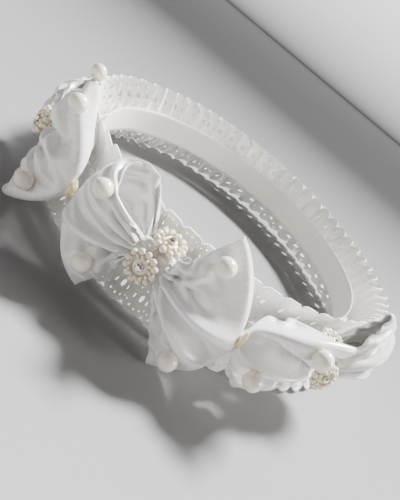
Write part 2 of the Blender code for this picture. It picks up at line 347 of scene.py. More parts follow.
def weave_group():
    """Fine threads that run along one direction of a cloth's UV map, with crossing threads under them."""
    group, given, result = new_group(
        "Woven threads", {"Along": 300.0, "Across": 3000.0}, ("Height", "Streaks")
    )
    nodes, links = group.nodes, group.links
    place = nodes.new("ShaderNodeUVMap")
    place.uv_map = "Flat"
    split = nodes.new("ShaderNodeSeparateXYZ")
    links.new(place.outputs["UV"], split.inputs[0])
    joined = nodes.new("ShaderNodeCombineXYZ")
    for axis, called in (("X", "Along"), ("Y", "Across")):
        scaled = maths(nodes, links, "MULTIPLY", split.outputs[axis], given.outputs[called])
        links.new(scaled, joined.inputs[axis])
    threads = noise_node(nodes, links, joined.outputs[0], Scale=1.0, Detail=3.0, Roughness=0.6)
    links.new(threads.outputs["Fac"], result.inputs["Height"])
    streaks = noise_node(nodes, links, joined.outputs[0], Scale=0.12, Detail=2.0)
    links.new(streaks.outputs["Fac"], result.inputs["Streaks"])
    return group


def cloudy_group():
    """Soft patches and fine grain on Object coordinates, for coatings, felt and glue."""
    group, given, result = new_group("Clouds and grain", {"Patch size": 0.004}, ("Patches", "Grain"))
    nodes, links = group.nodes, group.links
    place = nodes.new("ShaderNodeTexCoord").outputs["Object"]
    density = maths(nodes, links, "DIVIDE", 1.0, given.outputs["Patch size"])
    for output, factor, detail in (("Patches", 1.0, 2.0), ("Grain", 14.0, 4.0)):
        scale = maths(nodes, links, "MULTIPLY", density, factor)
        clouds = noise_node(nodes, links, place, Detail=detail)
        links.new(scale, clouds.inputs["Scale"])
        links.new(clouds.outputs["Fac"], result.inputs[output])
    return group


def place_group(nodes, group, **values):
    node = nodes.new("ShaderNodeGroup")
    node.node_tree = group
    for name, value in values.items():
        node.inputs[name.replace("_", " ")].default_value = value
    return node


def add_bump(nodes, links, shader, height, strength, distance):
    bump = nodes.new("ShaderNodeBump")
    set_inputs(bump, {"Strength": strength, "Distance": distance})
    links.new(height, bump.inputs["Height"])
    links.new(bump.outputs["Normal"], shader.inputs["Normal"])


def vary_roughness(nodes, links, shader, mask, least, most):
    spread = nodes.new("ShaderNodeMapRange")
    set_inputs(spread, {"To Min": least, "To Max": most})
    links.new(mask, spread.inputs["Value"])
    links.new(spread.outputs["Result"], shader.inputs["Roughness"])


def satin_material(name, light, shade, groups, woven):
    """Long floats give satin its gloss; streaks run along the ribbon, or clouds where it is bunched."""
    material, nodes, links, shader = new_material(name)
    if woven:
        pattern = place_group(nodes, groups["weave"], Along=260.0, Across=4200.0)
        broad, fine = pattern.outputs["Streaks"], pattern.outputs["Height"]
    else:
        pattern = place_group(nodes, groups["clouds"], Patch_size=0.0025)
        broad, fine = pattern.outputs["Patches"], pattern.outputs["Grain"]
    colour_from(nodes, links, broad, ((0.30, shade), (0.62, light)), shader.inputs["Base Color"])
    vary_roughness(nodes, links, shader, fine, 0.22, 0.34)
    set_inputs(shader, {"Specular IOR Level": 1.0, "Sheen Weight": 0.25, "Sheen Roughness": 0.35})
    add_bump(nodes, links, shader, fine, 0.30, 0.00006)
    return material


def cloth_material(name, colour, dip_shade, groups, along, across, roughness, bump):
    """Matt woven cloth on its own UV map, with painted shade in the dips between its threads."""
    material, nodes, links, shader = new_material(name)
    weave = place_group(nodes, groups["weave"], Along=along, Across=across)
    # Painted shade: the colour darkens where the weave's height, which also drives the bump, is low.
    stops = ((0.28, dip_shade), (0.62, colour))
    colour_from(nodes, links, weave.outputs["Height"], stops, shader.inputs["Base Color"])
    vary_roughness(nodes, links, shader, weave.outputs["Streaks"], roughness - 0.08, roughness)
    set_inputs(shader, {"Specular IOR Level": 0.3, "Sheen Weight": 0.3})
    add_bump(nodes, links, shader, weave.outputs["Height"], bump, 0.0002)
    return material


def fibre_material(name, colour, dip_shade, groups, patch, bump):
    """Thread and felt: matt fibres on Object coordinates, with painted shade in the dips of their grain."""
    material, nodes, links, shader = new_material(name)
    clouds = place_group(nodes, groups["clouds"], Patch_size=patch)
    # Painted shade: the colour darkens where the grain, which also drives the bump, is low.
    stops = ((0.3, dip_shade), (0.6, colour))
    colour_from(nodes, links, clouds.outputs["Grain"], stops, shader.inputs["Base Color"])
    vary_roughness(nodes, links, shader, clouds.outputs["Patches"], 0.62, 0.85)
    set_inputs(shader, {"Specular IOR Level": 0.35, "Sheen Weight": 0.35})
    add_bump(nodes, links, shader, clouds.outputs["Grain"], bump, 0.0002)
    return material


def coated_material(name, colour, tinge, groups, patch, roughness, coat):
    """Pearl, bead or glue: a body that is tinged in patches, with a clear gloss over it."""
    material, nodes, links, shader = new_material(name)
    clouds = place_group(nodes, groups["clouds"], Patch_size=patch)
    stops = ((0.3, tinge), (0.65, colour))
    colour_from(nodes, links, clouds.outputs["Patches"], stops, shader.inputs["Base Color"])
    vary_roughness(nodes, links, shader, clouds.outputs["Grain"], roughness, roughness + 0.12)
    set_inputs(shader, {"Coat Weight": coat, "Coat Roughness": 0.08})
    set_inputs(shader, {"Sheen Weight": 0.2, "Sheen Tint": (1.0, 0.93, 0.90, 1.0)})
    add_bump(nodes, links, shader, clouds.outputs["Grain"], 0.08, 0.0001)
    return material


def metal_material(name, colour, groups, roughness):
    material, nodes, links, shader = new_material(name)
    clouds = place_group(nodes, groups["clouds"], Patch_size=0.003)
    dull = tuple(0.6 * channel for channel in colour)
    stops = ((0.3, dull), (0.6, colour))
    colour_from(nodes, links, clouds.outputs["Patches"], stops, shader.inputs["Base Color"])
    set_inputs(shader, {"Metallic": 1.0})
    vary_roughness(nodes, links, shader, clouds.outputs["Grain"], roughness, roughness + 0.2)
    return material


def stone_material(name):
    """A cut stone with painted reflections: dark and bright patches in its colour stand in for the flashes of
    its facets.
    """
    material, nodes, links, shader = new_material(name)
    place = nodes.new("ShaderNodeTexCoord")
    reflection_cells = nodes.new("ShaderNodeTexVoronoi")
    set_inputs(reflection_cells, {"Scale": 1400.0})
    links.new(place.outputs["Object"], reflection_cells.inputs["Vector"])
    # Painted reflection: each cell runs from a dark middle to a bright white edge, for the facets' flashes.
    stops = ((0.0, (0.30, 0.27, 0.20)), (0.45, (0.86, 0.85, 0.80)), (1.0, (1.0, 0.99, 0.95)))
    colour_from(nodes, links, reflection_cells.outputs["Distance"], stops, shader.inputs["Base Color"])
    set_inputs(shader, {"Metallic": 0.85, "Roughness": 0.06, "Coat Weight": 1.0, "Coat Roughness": 0.02})
    return material


def make_materials(colours):
    groups = {"weave": weave_group(), "clouds": cloudy_group()}
    satin, lace = tuple(colours.satin), tuple(colours.lace)
    pearl, bead, glue = tuple(colours.pearl), tuple(colours.bead), tuple(colours.glue)
    satin_shade = (0.83, 0.80, 0.79)
    # The second colour of thread, band, lace and felt is painted shade for the dips of their weave or grain.
    thread, thread_shade = (0.94, 0.93, 0.92), (0.74, 0.72, 0.70)
    band, band_shade = (0.93, 0.91, 0.87), (0.74, 0.72, 0.67)
    return {
        "satin": satin_material("White satin", satin, satin_shade, groups, woven=True),
        "satin_plain": satin_material("Bunched satin", satin, satin_shade, groups, woven=False),
        "selvedge": fibre_material("Edge thread", thread, thread_shade, groups, 0.0016, 0.5),
        "thread": fibre_material("Sewing thread", thread, thread_shade, groups, 0.0010, 0.6),
        "lace": cloth_material("Eyelet lace", lace, (0.80, 0.79, 0.75), groups, 1900.0, 1900.0, 0.85, 0.6),
        "band": cloth_material("Band ribbon", band, band_shade, groups, 500.0, 2500.0, 0.7, 0.5),
        "felt": fibre_material("Felt", (0.92, 0.90, 0.86), (0.76, 0.74, 0.69), groups, 0.0030, 0.9),
        "pearl": coated_material("Pearl coating", pearl, (0.93, 0.86, 0.80), groups, 0.0040, 0.16, 0.8),
        "bead": coated_material("Ivory bead", bead, (0.92, 0.86, 0.74), groups, 0.0030, 0.24, 0.6),
        "glue": coated_material("Hot glue", glue, (0.90, 0.80, 0.54), groups, 0.0020, 0.20, 0.5),
        "stone": stone_material("Cut stone"),
        "wire": metal_material("Drawn steel", (0.66, 0.66, 0.68), groups, 0.25),
        "foil": metal_material("Gold foil", (0.72, 0.62, 0.40), groups, 0.18),
    }


# Satin wings: a flat ribbon of true size is gathered at the knot and let settle between its fixed places

FOLD_PLACES = (-1.0, -0.5, 0.0, 0.5, 1.0)
EDGE_PLACES = (-1.0, 0.0, 1.0)
WING_RADIUS = 0.115
PINCH_SIDE = 0.0074
PINCH_HALF_HEIGHT = 0.0046
PINCH_FRONT = 0.1112
PINCH_BACK = 0.1035
PINCH_PLEATS = 6
PINCH_SHARE = 0.26
RIDGE_HALF_WIDTH = 0.13
BACK_RIDGE_SHARE = 0.35
LACE_OUTSIDE = 0.0062
LACE_HEAD = 0.0058
LACE_CLEARANCE = 0.0008
LACE_TOP_FADE = 0.004
CLEAR_OF_BAND = 0.004
FLOOR_CLEARANCE = 0.0006
LAYER_GAP = 0.0016
LAYER_SWELL = 0.0024
BEND_RESISTANCE = 0.20
LAST_SMOOTHINGS = 2
GATHER_SHARE = 0.5
GATHER_CALM = 0.10

# How far a point moves towards its wished place in each round, at the start and at the end.
FIRST_HOLD = 0.05
LATER_HOLD = 0.02
SHAPE_HOLD = 0.014
EDGE_HOLD = (0.10, 0.04)
FOLD_HOLD = (0.15, 0.06)
CORNER_HOLD = (0.5, 0.4)
FOLD_MIDDLE_HOLD = (0.6, 0.6)
PINCH_HOLD = (0.2, 0.2)

# Points along and across a wing, and how many rounds it settles for.
COARSE_GRID = (33, 49)
FINE_GRID = (65, 97)
COARSE_ROUNDS = 360
FINE_ROUNDS = 150


class RibbonGrid:
    """A ribbon as a grid of points that keep their distances, settled by repeated small corrections."""

    def __init__(self, points, length, width):
        self.shape = points.shape[:2]
        self.points = points.reshape(-1, 3).astype(float).copy()
        self.step_along = length / (self.shape[0] - 1)
        self.step_across = width / (self.shape[1] - 1)
        self.weights = np.ones(len(self.points))
        reach = 1.0 - np.abs(np.linspace(-1.0, 1.0, self.shape[0]))
        self.calm = blend(GATHER_CALM, 1.0, smooth_step(reach / GATHER_SHARE))[:, None, None]
        self.index = np.arange(len(self.points)).reshape(self.shape)
        self.links = self.make_links()

    def pairs(self, first, second, axis, span, rest, stiffness):
        """Splits pairs along an axis into sets that share no point."""
        sets = []
        for start in range(2):
            chosen = [i for i in range(first.shape[axis]) if (i // span) % 2 == start]
            if chosen:
                a = np.take(first, chosen, axis=axis).ravel()
                b = np.take(second, chosen, axis=axis).ravel()
                sets.append((a, b, rest, stiffness))
        return sets

    def make_links(self):
        grid = self.index
        along, across = self.step_along, self.step_across
        slant = sqrt(along**2 + across**2)
        links = []
        links += self.pairs(grid[:-1], grid[1:], 0, 1, along, 0.9)
        links += self.pairs(grid[:, :-1], grid[:, 1:], 1, 1, across, 0.9)
        links += self.pairs(grid[:-1, :-1], grid[1:, 1:], 0, 1, slant, 0.35)
        links += self.pairs(grid[:-1, 1:], grid[1:, :-1], 0, 1, slant, 0.35)
        links += self.pairs(grid[:-2], grid[2:], 0, 2, 2 * along, 0.10)
        links += self.pairs(grid[:, :-2], grid[:, 2:], 1, 2, 2 * across, 0.08)
        links += self.pairs(grid[:-4], grid[4:], 0, 4, 4 * along, 0.08)
        links += self.pairs(grid[:, :-4], grid[:, 4:], 1, 4, 4 * across, 0.05)
        return links

    def resist_bending(self, share):
        """Moves each point towards the middle of its neighbours, along the edges only on the edges."""
        cloth = self.points.reshape(*self.shape, 3)
        free = self.weights.reshape(self.shape)[1:-1, :, None]
        along = (cloth[:-2] + cloth[2:]) / 2 - cloth[1:-1]
        across = np.zeros_like(along)
        across[:, 1:-1] = (cloth[1:-1, :-2] + cloth[1:-1, 2:]) / 2 - cloth[1:-1, 1:-1]
        cloth[1:-1] += share * self.calm[1:-1] * free * (along + across) / 2

    def correct(self, a, b, rest, stiffness):
        difference = self.points[b] - self.points[a]
        length = np.maximum(np.linalg.norm(difference, axis=1), 1e-9)
        freedom = np.maximum(self.weights[a] + self.weights[b], 1e-9)
        move = difference * (stiffness * (length - rest) / length / freedom)[:, None]
        self.points[a] += move * self.weights[a][:, None]
        self.points[b] -= move * self.weights[b][:, None]

    def keep_layers_apart(self, least):
        """Pushes the front and the back layer apart where they come too near."""
        half = self.shape[0] // 2 - 1
        a = self.index[:half].ravel()
        b = self.index[::-1][:half].ravel()
        difference = self.points[b] - self.points[a]
        length = np.maximum(np.linalg.norm(difference, axis=1), 1e-9)
        short = np.minimum(length - np.repeat(least, self.shape[1]), 0.0)
        move = difference * (0.25 * short / length)[:, None]
        self.points[a] += move * self.weights[a][:, None]
        self.points[b] -= move * self.weights[b][:, None]

    def settle(self, rounds, holds, limit, least_gap):
        """Each hold is (points, places, share at the start, share at the end)."""
        for turn in range(rounds):
            done = turn / rounds
            for link in self.links:
                self.correct(*link)
            self.keep_layers_apart(least_gap)
            self.resist_bending(BEND_RESISTANCE)
            for indices, places, first, last in holds:
                self.points[indices] += blend(first, last, done) * (places - self.points[indices])
            limit(self.points)

    def array(self):
        return self.points.reshape(*self.shape, 3)


# How each wing is folded. Places are (distance round from the knot, radius, height).
# fold: the far fold from the lower to the upper edge, at five places across the ribbon.
# front, back: how far each layer stands off the straight way at the lower edge, middle and upper edge.
# rise: how early the lower and the upper edge leave the straight way to the fold; 1 is straight.
# ridges: (place across, depth) of the folds that run out from the knot, across from -1 to 1.
WINGS = {
    "bow_1_left": {
        "length": 0.070,
        "fold": (
            (0.0280, 0.1110, 0.0190),
            (0.0355, 0.1115, 0.0240),
            (0.0400, 0.1095, 0.0330),
            (0.0390, 0.1040, 0.0415),
            (0.0310, 0.1000, 0.0495),
        ),
        "rise": (0.8, 0.8),
        "front": ((0.0, 0.0, 0.0), (0.0, 0.002, 0.0), (0.0, 0.002, 0.002)),
        "back": ((0.0, -0.003, 0.0), (0.0, -0.005, 0.0), (0.0, -0.002, 0.0)),
        "ridges": ((0.55, 0.0030), (0.10, -0.0030), (-0.30, 0.0010)),
    },
    "bow_1_right": {
        "length": 0.088,
        "fold": (
            (0.0215, 0.1235, 0.0012),
            (0.0370, 0.1190, 0.0120),
            (0.0440, 0.1125, 0.0280),
            (0.0325, 0.1105, 0.0450),
            (0.0160, 0.1095, 0.0610),
        ),
        "rise": (1.0, 1.0),
        "front": ((0.0, 0.001, 0.0), (0.0, 0.005, 0.0), (0.001, 0.005, 0.0)),
        "back": ((0.0, -0.003, 0.0), (0.0, -0.005, 0.0), (0.002, -0.002, 0.001)),
        "ridges": ((0.40, -0.0040), (0.12, 0.0030), (-0.30, 0.0010)),
    },
    "bow_2_left": {
        "length": 0.080,
        "fold": (
            (0.0150, 0.1175, 0.0050),
            (0.0330, 0.1180, 0.0150),
            (0.0430, 0.1125, 0.0265),
            (0.0420, 0.1080, 0.0420),
            (0.0330, 0.1050, 0.0515),
        ),
        "rise": (0.9, 0.65),
        "front": ((0.0, 0.002, -0.001), (0.0, 0.007, 0.0), (0.001, 0.009, -0.002)),
        "back": ((0.0, -0.003, 0.0), (0.0, -0.006, 0.0), (0.002, -0.006, 0.006)),
        "ridges": ((-0.22, 0.0060), (-0.48, -0.0065), (-0.78, 0.0020)),
    },
    "bow_2_right": {
        "length": 0.088,
        "fold": (
            (0.0247, 0.1195, 0.0012),
            (0.0390, 0.1190, 0.0095),
            (0.0460, 0.1175, 0.0260),
            (0.0395, 0.1110, 0.0460),
            (0.0220, 0.1080, 0.0625),
        ),
        "rise": (0.95, 1.30),
        "front": ((0.001, 0.002, 0.0), (0.0, 0.006, 0.0), (0.0, 0.003, 0.0)),
        "back": ((0.0, -0.003, 0.0), (0.0, -0.006, 0.0), (0.004, -0.005, -0.003)),
        "ridges": ((0.06, 0.0095), (-0.18, -0.0110), (-0.45, 0.0100), (-0.75, -0.0030)),
    },
    "bow_3_left": {
        "length": 0.086,
        "fold": (
            (0.0360, 0.1175, 0.0125),
            (0.0440, 0.1180, 0.0225),
            (0.0455, 0.1180, 0.0350),
            (0.0290, 0.1185, 0.0460),
            (0.0060, 0.1200, 0.0505),
        ),
        "rise": (0.9, 0.8),
        "front": ((0.0, 0.003, -0.004), (0.0, 0.004, 0.0), (-0.001, 0.001, 0.0)),
        "back": ((0.0, -0.003, 0.0), (0.004, -0.008, 0.0), (0.008, -0.009, -0.005)),
        "ridges": ((0.45, 0.0070), (0.12, -0.0095), (-0.28, 0.0080), (-0.68, -0.0030)),
    },
    "bow_3_right": {
        "length": 0.078,
        "fold": (
            (0.0385, 0.1010, 0.0300),
            (0.0415, 0.1060, 0.0340),
            (0.0425, 0.1090, 0.0420),
            (0.0390, 0.1070, 0.0530),
            (0.0260, 0.1050, 0.0600),
        ),
        "rise": (0.8, 0.8),
        "front": ((0.0, 0.003, 0.0), (0.0, 0.006, 0.0), (0.0, 0.001, 0.0)),
        "back": ((0.0, -0.003, 0.0), (0.0, -0.005, 0.0), (0.0, -0.001, 0.001)),
        "ridges": ((0.40, 0.0030), (0.00, -0.0030), (-0.35, 0.0020)),
    },
}

# The settled points of each wing, which the pearls are seated on.
WING_SHAPES = {}


def lace_profile():
    """Heights and radii of the lace's outside, from the lower ruffle's foot to the upper one's edge."""
    head = BAND_RADIUS + LACE_OUTSIDE
    foot, top = LOWER_LACE_FOOT.x, UPPER_LACE_TOP.x
    heights = np.array([0.0, 0.0100, 0.0185, SEAM_HEIGHT, 0.0300, 0.0370, UPPER_LACE_TOP.z])
    radii = np.array([foot, head + 0.0056, head + 0.0016, head, head, head + 0.0022, top])
    return heights, radii


def wing_start(wing, rows, columns, width):
    """The wished shape of a wing, as the distance round, radius and height of each point of the ribbon."""
    shape = WINGS[wing]
    u = np.linspace(0.0, 1.0, rows)[:, None]
    v = np.linspace(-1.0, 1.0, columns)[None, :]
    far = curve_through(FOLD_PLACES, shape["fold"], v)
    front = u <= 0.5
    reach = 1.0 - np.abs(2.0 * u - 1.0)
    pinch = np.stack(
        np.broadcast_arrays(
            PINCH_SIDE, np.where(front, PINCH_FRONT, PINCH_BACK), BOW_HEIGHT + PINCH_HALF_HEIGHT * v
        ),
        axis=-1,
    )
    off_front = curve_through(EDGE_PLACES, shape["front"], v)
    off_back = curve_through(EDGE_PLACES, shape["back"], v)
    swell = (np.sin(pi * reach) ** 0.8)[..., None]
    opened = reach ** blend(*shape["rise"], (v + 1) / 2)
    places = blend(pinch, far, reach[..., None])
    places[..., 2] = blend(pinch[..., 2], np.broadcast_to(far, pinch.shape)[..., 2], opened)
    places = places + np.where(front[..., None], off_front, off_back) * swell
    ridges = sum(
        depth * np.exp(-(((v - place) / RIDGE_HALF_WIDTH) ** 2)) for place, depth in shape["ridges"]
    )
    ridges = ridges * np.sin(pi * reach**0.8) ** 0.7
    tight = 1.0 - smooth_step(reach / PINCH_SHARE)
    spare = np.sqrt(np.maximum(width**2 - (2 * PINCH_HALF_HEIGHT) ** 2, 0.0))
    gathers = np.sin(2 * pi * PINCH_PLEATS * (v + 1) / 2) * spare / (4 * PINCH_PLEATS) * tight
    places[..., 1] += gathers + np.where(front, ridges, BACK_RIDGE_SHARE * ridges)
    return places


def round_the_crown(places, angle, side):
    """Turns (distance round, radius, height) into points at the bow's place round the crown."""
    turn = angle + side * places[..., 0] / WING_RADIUS
    return np.stack((places[..., 1] * np.sin(turn), -places[..., 1] * np.cos(turn), places[..., 2]), axis=-1)


def stay_outside_lace(points):
    """Keeps a wing off the lace and above the floor."""
    heights, radii = lace_profile()
    radius = np.hypot(points[:, 0], points[:, 1])
    least = np.interp(points[:, 2], heights, radii) + LACE_CLEARANCE
    fade = np.clip((points[:, 2] - UPPER_LACE_TOP.z) / LACE_TOP_FADE, 0.0, 1.0)
    least = blend(least, BAND_RADIUS + CLEAR_OF_BAND, fade)
    grow = np.maximum(least / np.maximum(radius, 1e-9), 1.0)
    points[:, 0] *= grow
    points[:, 1] *= grow
    points[:, 2] = np.maximum(points[:, 2], FLOOR_CLEARANCE)


def settle_wing(wing, angle, width, rows, columns, rounds, start=None):
    side = -1 if wing.endswith("left") else 1
    wish = round_the_crown(wing_start(wing, rows, columns, width), angle, side)
    ribbon = RibbonGrid(wish if start is None else start, WINGS[wing]["length"], width)
    u = np.linspace(0.0, 1.0, rows)
    v = np.linspace(-1.0, 1.0, columns)
    grid = ribbon.index

    def hold(rows_held, columns_held, first, last):
        chosen = np.ix_(rows_held, columns_held)
        return grid[chosen].ravel(), wish[chosen].reshape(-1, 3), first, last

    for row in (0, -1):
        ribbon.weights[grid[row]] = 0.0
        ribbon.points[grid[row]] = wish[row]
    everywhere_u = np.ones(rows, bool)
    everywhere_v = np.ones(columns, bool)
    at_fold = np.abs(u - 0.5) < 0.6 / rows
    at_edges = np.abs(v) > 1 - 1.2 / columns
    reach = 1.0 - np.abs(2.0 * u - 1.0)
    near_pinch = (reach > 0) & (reach < 0.10)
    holds = [
        hold(everywhere_u, everywhere_v, FIRST_HOLD if start is None else LATER_HOLD, SHAPE_HOLD),
        hold(everywhere_u, at_edges, *EDGE_HOLD),
        hold(at_fold, everywhere_v, *FOLD_HOLD),
        hold(at_fold, at_edges, *CORNER_HOLD),
        hold(np.abs(u - 0.5) < 0.035, np.abs(v) < 0.10, *FOLD_MIDDLE_HOLD),
        hold(near_pinch, everywhere_v, *PINCH_HOLD),
    ]
    half = rows // 2 - 1
    least_gap = LAYER_GAP + LAYER_SWELL * np.sin(pi * np.linspace(0.0, 1.0, half)) ** 2
    ribbon.settle(rounds, holds, stay_outside_lace, least_gap)
    for _ in range(LAST_SMOOTHINGS):
        ribbon.resist_bending(1.0)
    stay_outside_lace(ribbon.points)
    return ribbon.array()


def resample(points, rows, columns):
    """A finer grid through the same sheet, by straight interpolation both ways."""
    old_rows, old_columns = points.shape[:2]
    a = np.linspace(0, old_rows - 1, rows)
    b = np.linspace(0, old_columns - 1, columns)
    i = np.minimum(a.astype(int), old_rows - 2)
    j = np.minimum(b.astype(int), old_columns - 2)
    s = (a - i)[:, None, None]
    t = (b - j)[None, :, None]
    top = blend(points[i][:, j], points[i + 1][:, j], s)
    bottom = blend(points[i][:, j + 1], points[i + 1][:, j + 1], s)
    return blend(top, bottom, t)


def wing_points(wing, sizes):
    angle = bow_angle(wing[:5])
    width = sizes.ribbon_width
    rounds = COARSE_ROUNDS
    coarse = settle_wing(wing, angle, width, *COARSE_GRID, rounds)
    return settle_wing(wing, angle, width, *FINE_GRID, FINE_ROUNDS, start=resample(coarse, *FINE_GRID))


def add_selvedge(bm, edge, pitch, radius):
    """A corded edge: a thread wrapped over the ribbon's edge, so that it swells at each stitch."""
    edge = np.asarray(edge)
    steps = np.linalg.norm(np.diff(edge, axis=0), axis=1)
    travelled = np.concatenate(([0.0], np.cumsum(steps)))
    per_stitch = 4
    count = int(travelled[-1] / pitch) * per_stitch + 1
    stations = np.linspace(0.0, travelled[-1], count)
    path = np.stack([np.interp(stations, travelled, edge[:, k]) for k in range(3)], axis=1)
    swell = np.abs(np.sin(pi * np.arange(count) / per_stitch))
    add_tube(bm, path, radius * (0.62 + 0.5 * swell), sides=6)


def build_wings(sizes, materials):
    for bow in BOWS:
        edges = bmesh.new()
        for side in SIDES:
            wing = f"{bow}_{side}"
            points = wing_points(wing, sizes)
            WING_SHAPES[wing] = points
            length = WINGS[wing]["length"]
            rows, columns = points.shape[:2]
            spacing = (length / (rows - 1), sizes.ribbon_width / (columns - 1))
            piece = add_object(f"{bow}_satin_loop_{side}", grid_mesh(wing, points, spacing))
            subdivide(piece, 1)
            thicken(piece, sizes.ribbon_thickness)
            piece.data.shade_smooth()
            settle(piece, materials["satin"], "satin", [f"{bow}_loop_{side}"])
            for column in (0, -1):
                add_selvedge(edges, points[:, column], sizes.stitch_pitch, sizes.selvedge_radius)
        settle(piece_from(edges, f"{bow}_selvedges"), materials["selvedge"], "satin")


# The lace: one scallop is drawn flat, repeated along a strip, and the strip is gathered round the ring

LACE_SCALLOPS = 60
ROOT_PLEATS = 2 * LACE_SCALLOPS
SCALLOP_DROP = 0.0030
PICOTS = 9
PICOT_RISE = 0.0006
INNER_STEP = 0.0011
HOLE_MARGIN = 0.0009
RIM_WIDTH = 0.00038
GATHERING_THREAD_RADIUS = 0.00022
# The lace lies nearly flat behind the bows, and waves beyond them.
BOW_ZONE = radians(74)
BOW_ZONE_FADE = radians(12)
CALM_DEPTH = 0.0005


def ellipse(centre, radii, steps):
    turns = np.linspace(0, 2 * pi, steps, endpoint=False)
    return np.stack((centre[0] + radii[0] * np.cos(turns), centre[1] + radii[1] * np.sin(turns)), axis=1)


def scallop_edge(t, height):
    """The edge of one scallop without its picots, for t from 0 to 1 across it."""
    return height - SCALLOP_DROP * (1 - np.sin(pi * t) ** 0.8)


def lace_holes(pitch, height):
    """The eyelets of one scallop as (centre, radii, points round it)."""
    row = [
        ((pitch * t, float(scallop_edge(t, height)) - 0.0024), (0.0005, 0.0005), 8)
        for t in (0.1, 0.3, 0.5, 0.7, 0.9)
    ]
    large = [((pitch / 2, height - 0.0078), (0.0011, 0.0017), 14)]
    leaves = [((pitch * t, height - 0.0072), (0.0006, 0.0011), 8) for t in (0.24, 0.76)]
    upper = [((pitch * t, height - 0.0118), (0.00045, 0.00045), 8) for t in (0.25, 0.5, 0.75)]
    return row + large + leaves + upper


def share_of_hole(x, y, hole, margin=0.0):
    """Under 1 inside a hole, or inside its margin, and over 1 outside."""
    centre, radii, _ = hole
    return ((x - centre[0]) / (radii[0] + margin)) ** 2 + ((y - centre[1]) / (radii[1] + margin)) ** 2


def lace_scallop(pitch, height):
    """One scallop, drawn flat: its points, its triangles and which points lie on a stitched rim."""
    samples = 4 * PICOTS
    t = np.arange(samples + 1) / samples
    picots = PICOT_RISE * np.abs(np.sin(PICOTS * pi * t))
    edge = np.stack((pitch * t, scallop_edge(t, height) + picots), axis=1)
    border = np.stack((pitch * t[::2], scallop_edge(t[::2], height) - 0.0005), axis=1)
    holes = lace_holes(pitch, height)

    rows = np.arange(0.0, height - SCALLOP_DROP - 0.0012, INNER_STEP)
    inner = []
    for x in np.linspace(0, pitch, 11)[1:-1]:
        limit = scallop_edge(x / pitch, height) - INNER_STEP
        for y in np.arange(0.0, limit, INNER_STEP):
            if all(share_of_hole(x, y, hole, HOLE_MARGIN) > 1 for hole in holes):
                inner.append((x, y))
    sides = [(x, y) for y in rows for x in (0.0, pitch)]
    outline = [Vector(p) for p in edge]
    lines = [(i, i + 1) for i in range(len(outline) - 1)]
    rings = []
    for centre, radii, steps in holes:
        first = len(outline)
        outline += [Vector(p) for p in ellipse(centre, radii, steps)]
        lines += [(first + i, first + (i + 1) % steps) for i in range(steps)]
        rings += list(ellipse(centre, (radii[0] + RIM_WIDTH, radii[1] + RIM_WIDTH), steps))
    rim_count = len(outline)
    rest = [Vector(p) for p in [*border, *rings, *inner, *sides]]
    points, _, triangles, origins, _, _ = delaunay_2d_cdt(outline + rest, lines, [], 0, 1e-7)
    points = np.array([tuple(p) for p in points])
    on_rim = np.array([any(source < rim_count for source in sources) for sources in origins])
    kept = []
    for triangle in triangles:
        x, y = points[list(triangle)].mean(axis=0)
        inside_edge = y < np.interp(x, edge[:, 0], edge[:, 1])
        in_hole = any(share_of_hole(x, y, hole) < 0.97 for hole in holes)
        if inside_edge and not in_hole:
            kept.append(triangle)
    return points, np.array(kept), on_rim


def lace_strip(pitch, height):
    """The closed strip of all scallops, drawn flat, with its seams joined."""
    points, triangles, on_rim = lace_scallop(pitch, height)
    count = len(points)
    left = {round(y, 6): i for i, (x, y) in enumerate(points) if x < 1e-6}
    partner = {i: left[round(y, 6)] for i, (x, y) in enumerate(points) if x > pitch - 1e-6}
    strip_points, strip_triangles = [], []
    for k in range(LACE_SCALLOPS):
        strip_points.append(points + (k * pitch, 0.0))
        renumber = np.arange(count) + k * count
        following = ((k + 1) % LACE_SCALLOPS) * count
        for right_index, left_index in partner.items():
            renumber[right_index] = following + left_index
        strip_triangles.append(renumber[triangles])
    flat = np.concatenate(strip_points)
    faces = np.concatenate(strip_triangles)
    rims = np.tile(on_rim, LACE_SCALLOPS)
    used = np.unique(faces)
    place = np.zeros(len(flat), int)
    place[used] = np.arange(len(used))
    return flat[used], place[faces], rims[used], pitch * LACE_SCALLOPS


def gather_lace(flat, total, height, ring):
    """Lays the flat strip round the ring: small pleats at the seam grow into waves at the edge."""
    s = flat[:, 1] / height
    turn = 2 * pi * flat[:, 0] / total
    angle = (turn + pi) % (2 * pi) - pi
    free = smooth_step((np.abs(angle) - BOW_ZONE + BOW_ZONE_FADE) / (2 * BOW_ZONE_FADE))
    radius = np.interp(s, ring["s"], ring["radius"])
    level = np.interp(s, ring["s"], ring["height"])
    uneven = 1 + 0.30 * np.sin(4 * turn + ring["phase"]) + 0.26 * np.sin(11 * turn + 1.3 + ring["phase"])
    pleat_phase = ROOT_PLEATS * turn + 0.9 * np.sin(7 * turn + ring["phase"])
    petal_phase = LACE_SCALLOPS * turn + 0.8 * np.sin(5 * turn + ring["phase"])
    pleats = ring["pleat_depth"] * (1 - smooth_step(s / 0.45)) * np.sin(pleat_phase)
    grown = smooth_step(s * 0.95 + 0.05)
    wave_depth = blend(CALM_DEPTH, ring["wave_depth"] * uneven, free) * grown
    waves = -wave_depth * np.cos(petal_phase - ring["slant"])
    lean = -blend(CALM_DEPTH, ring["overlap"] * uneven, free) * grown * np.sin(petal_phase)
    radius = radius - 0.0010 * (1 - free) * grown + pleats + waves
    radius = np.maximum(radius, BAND_RADIUS + 0.0010)
    level = level - ring["droop"] * np.abs(waves) + 0.0012 * free * np.sin(2 * turn + ring["phase"]) * s
    level = np.maximum(level, FLOOR_CLEARANCE)
    turned = turn + lean / radius
    return np.stack((radius * np.sin(turned), -radius * np.cos(turned), level), axis=1)


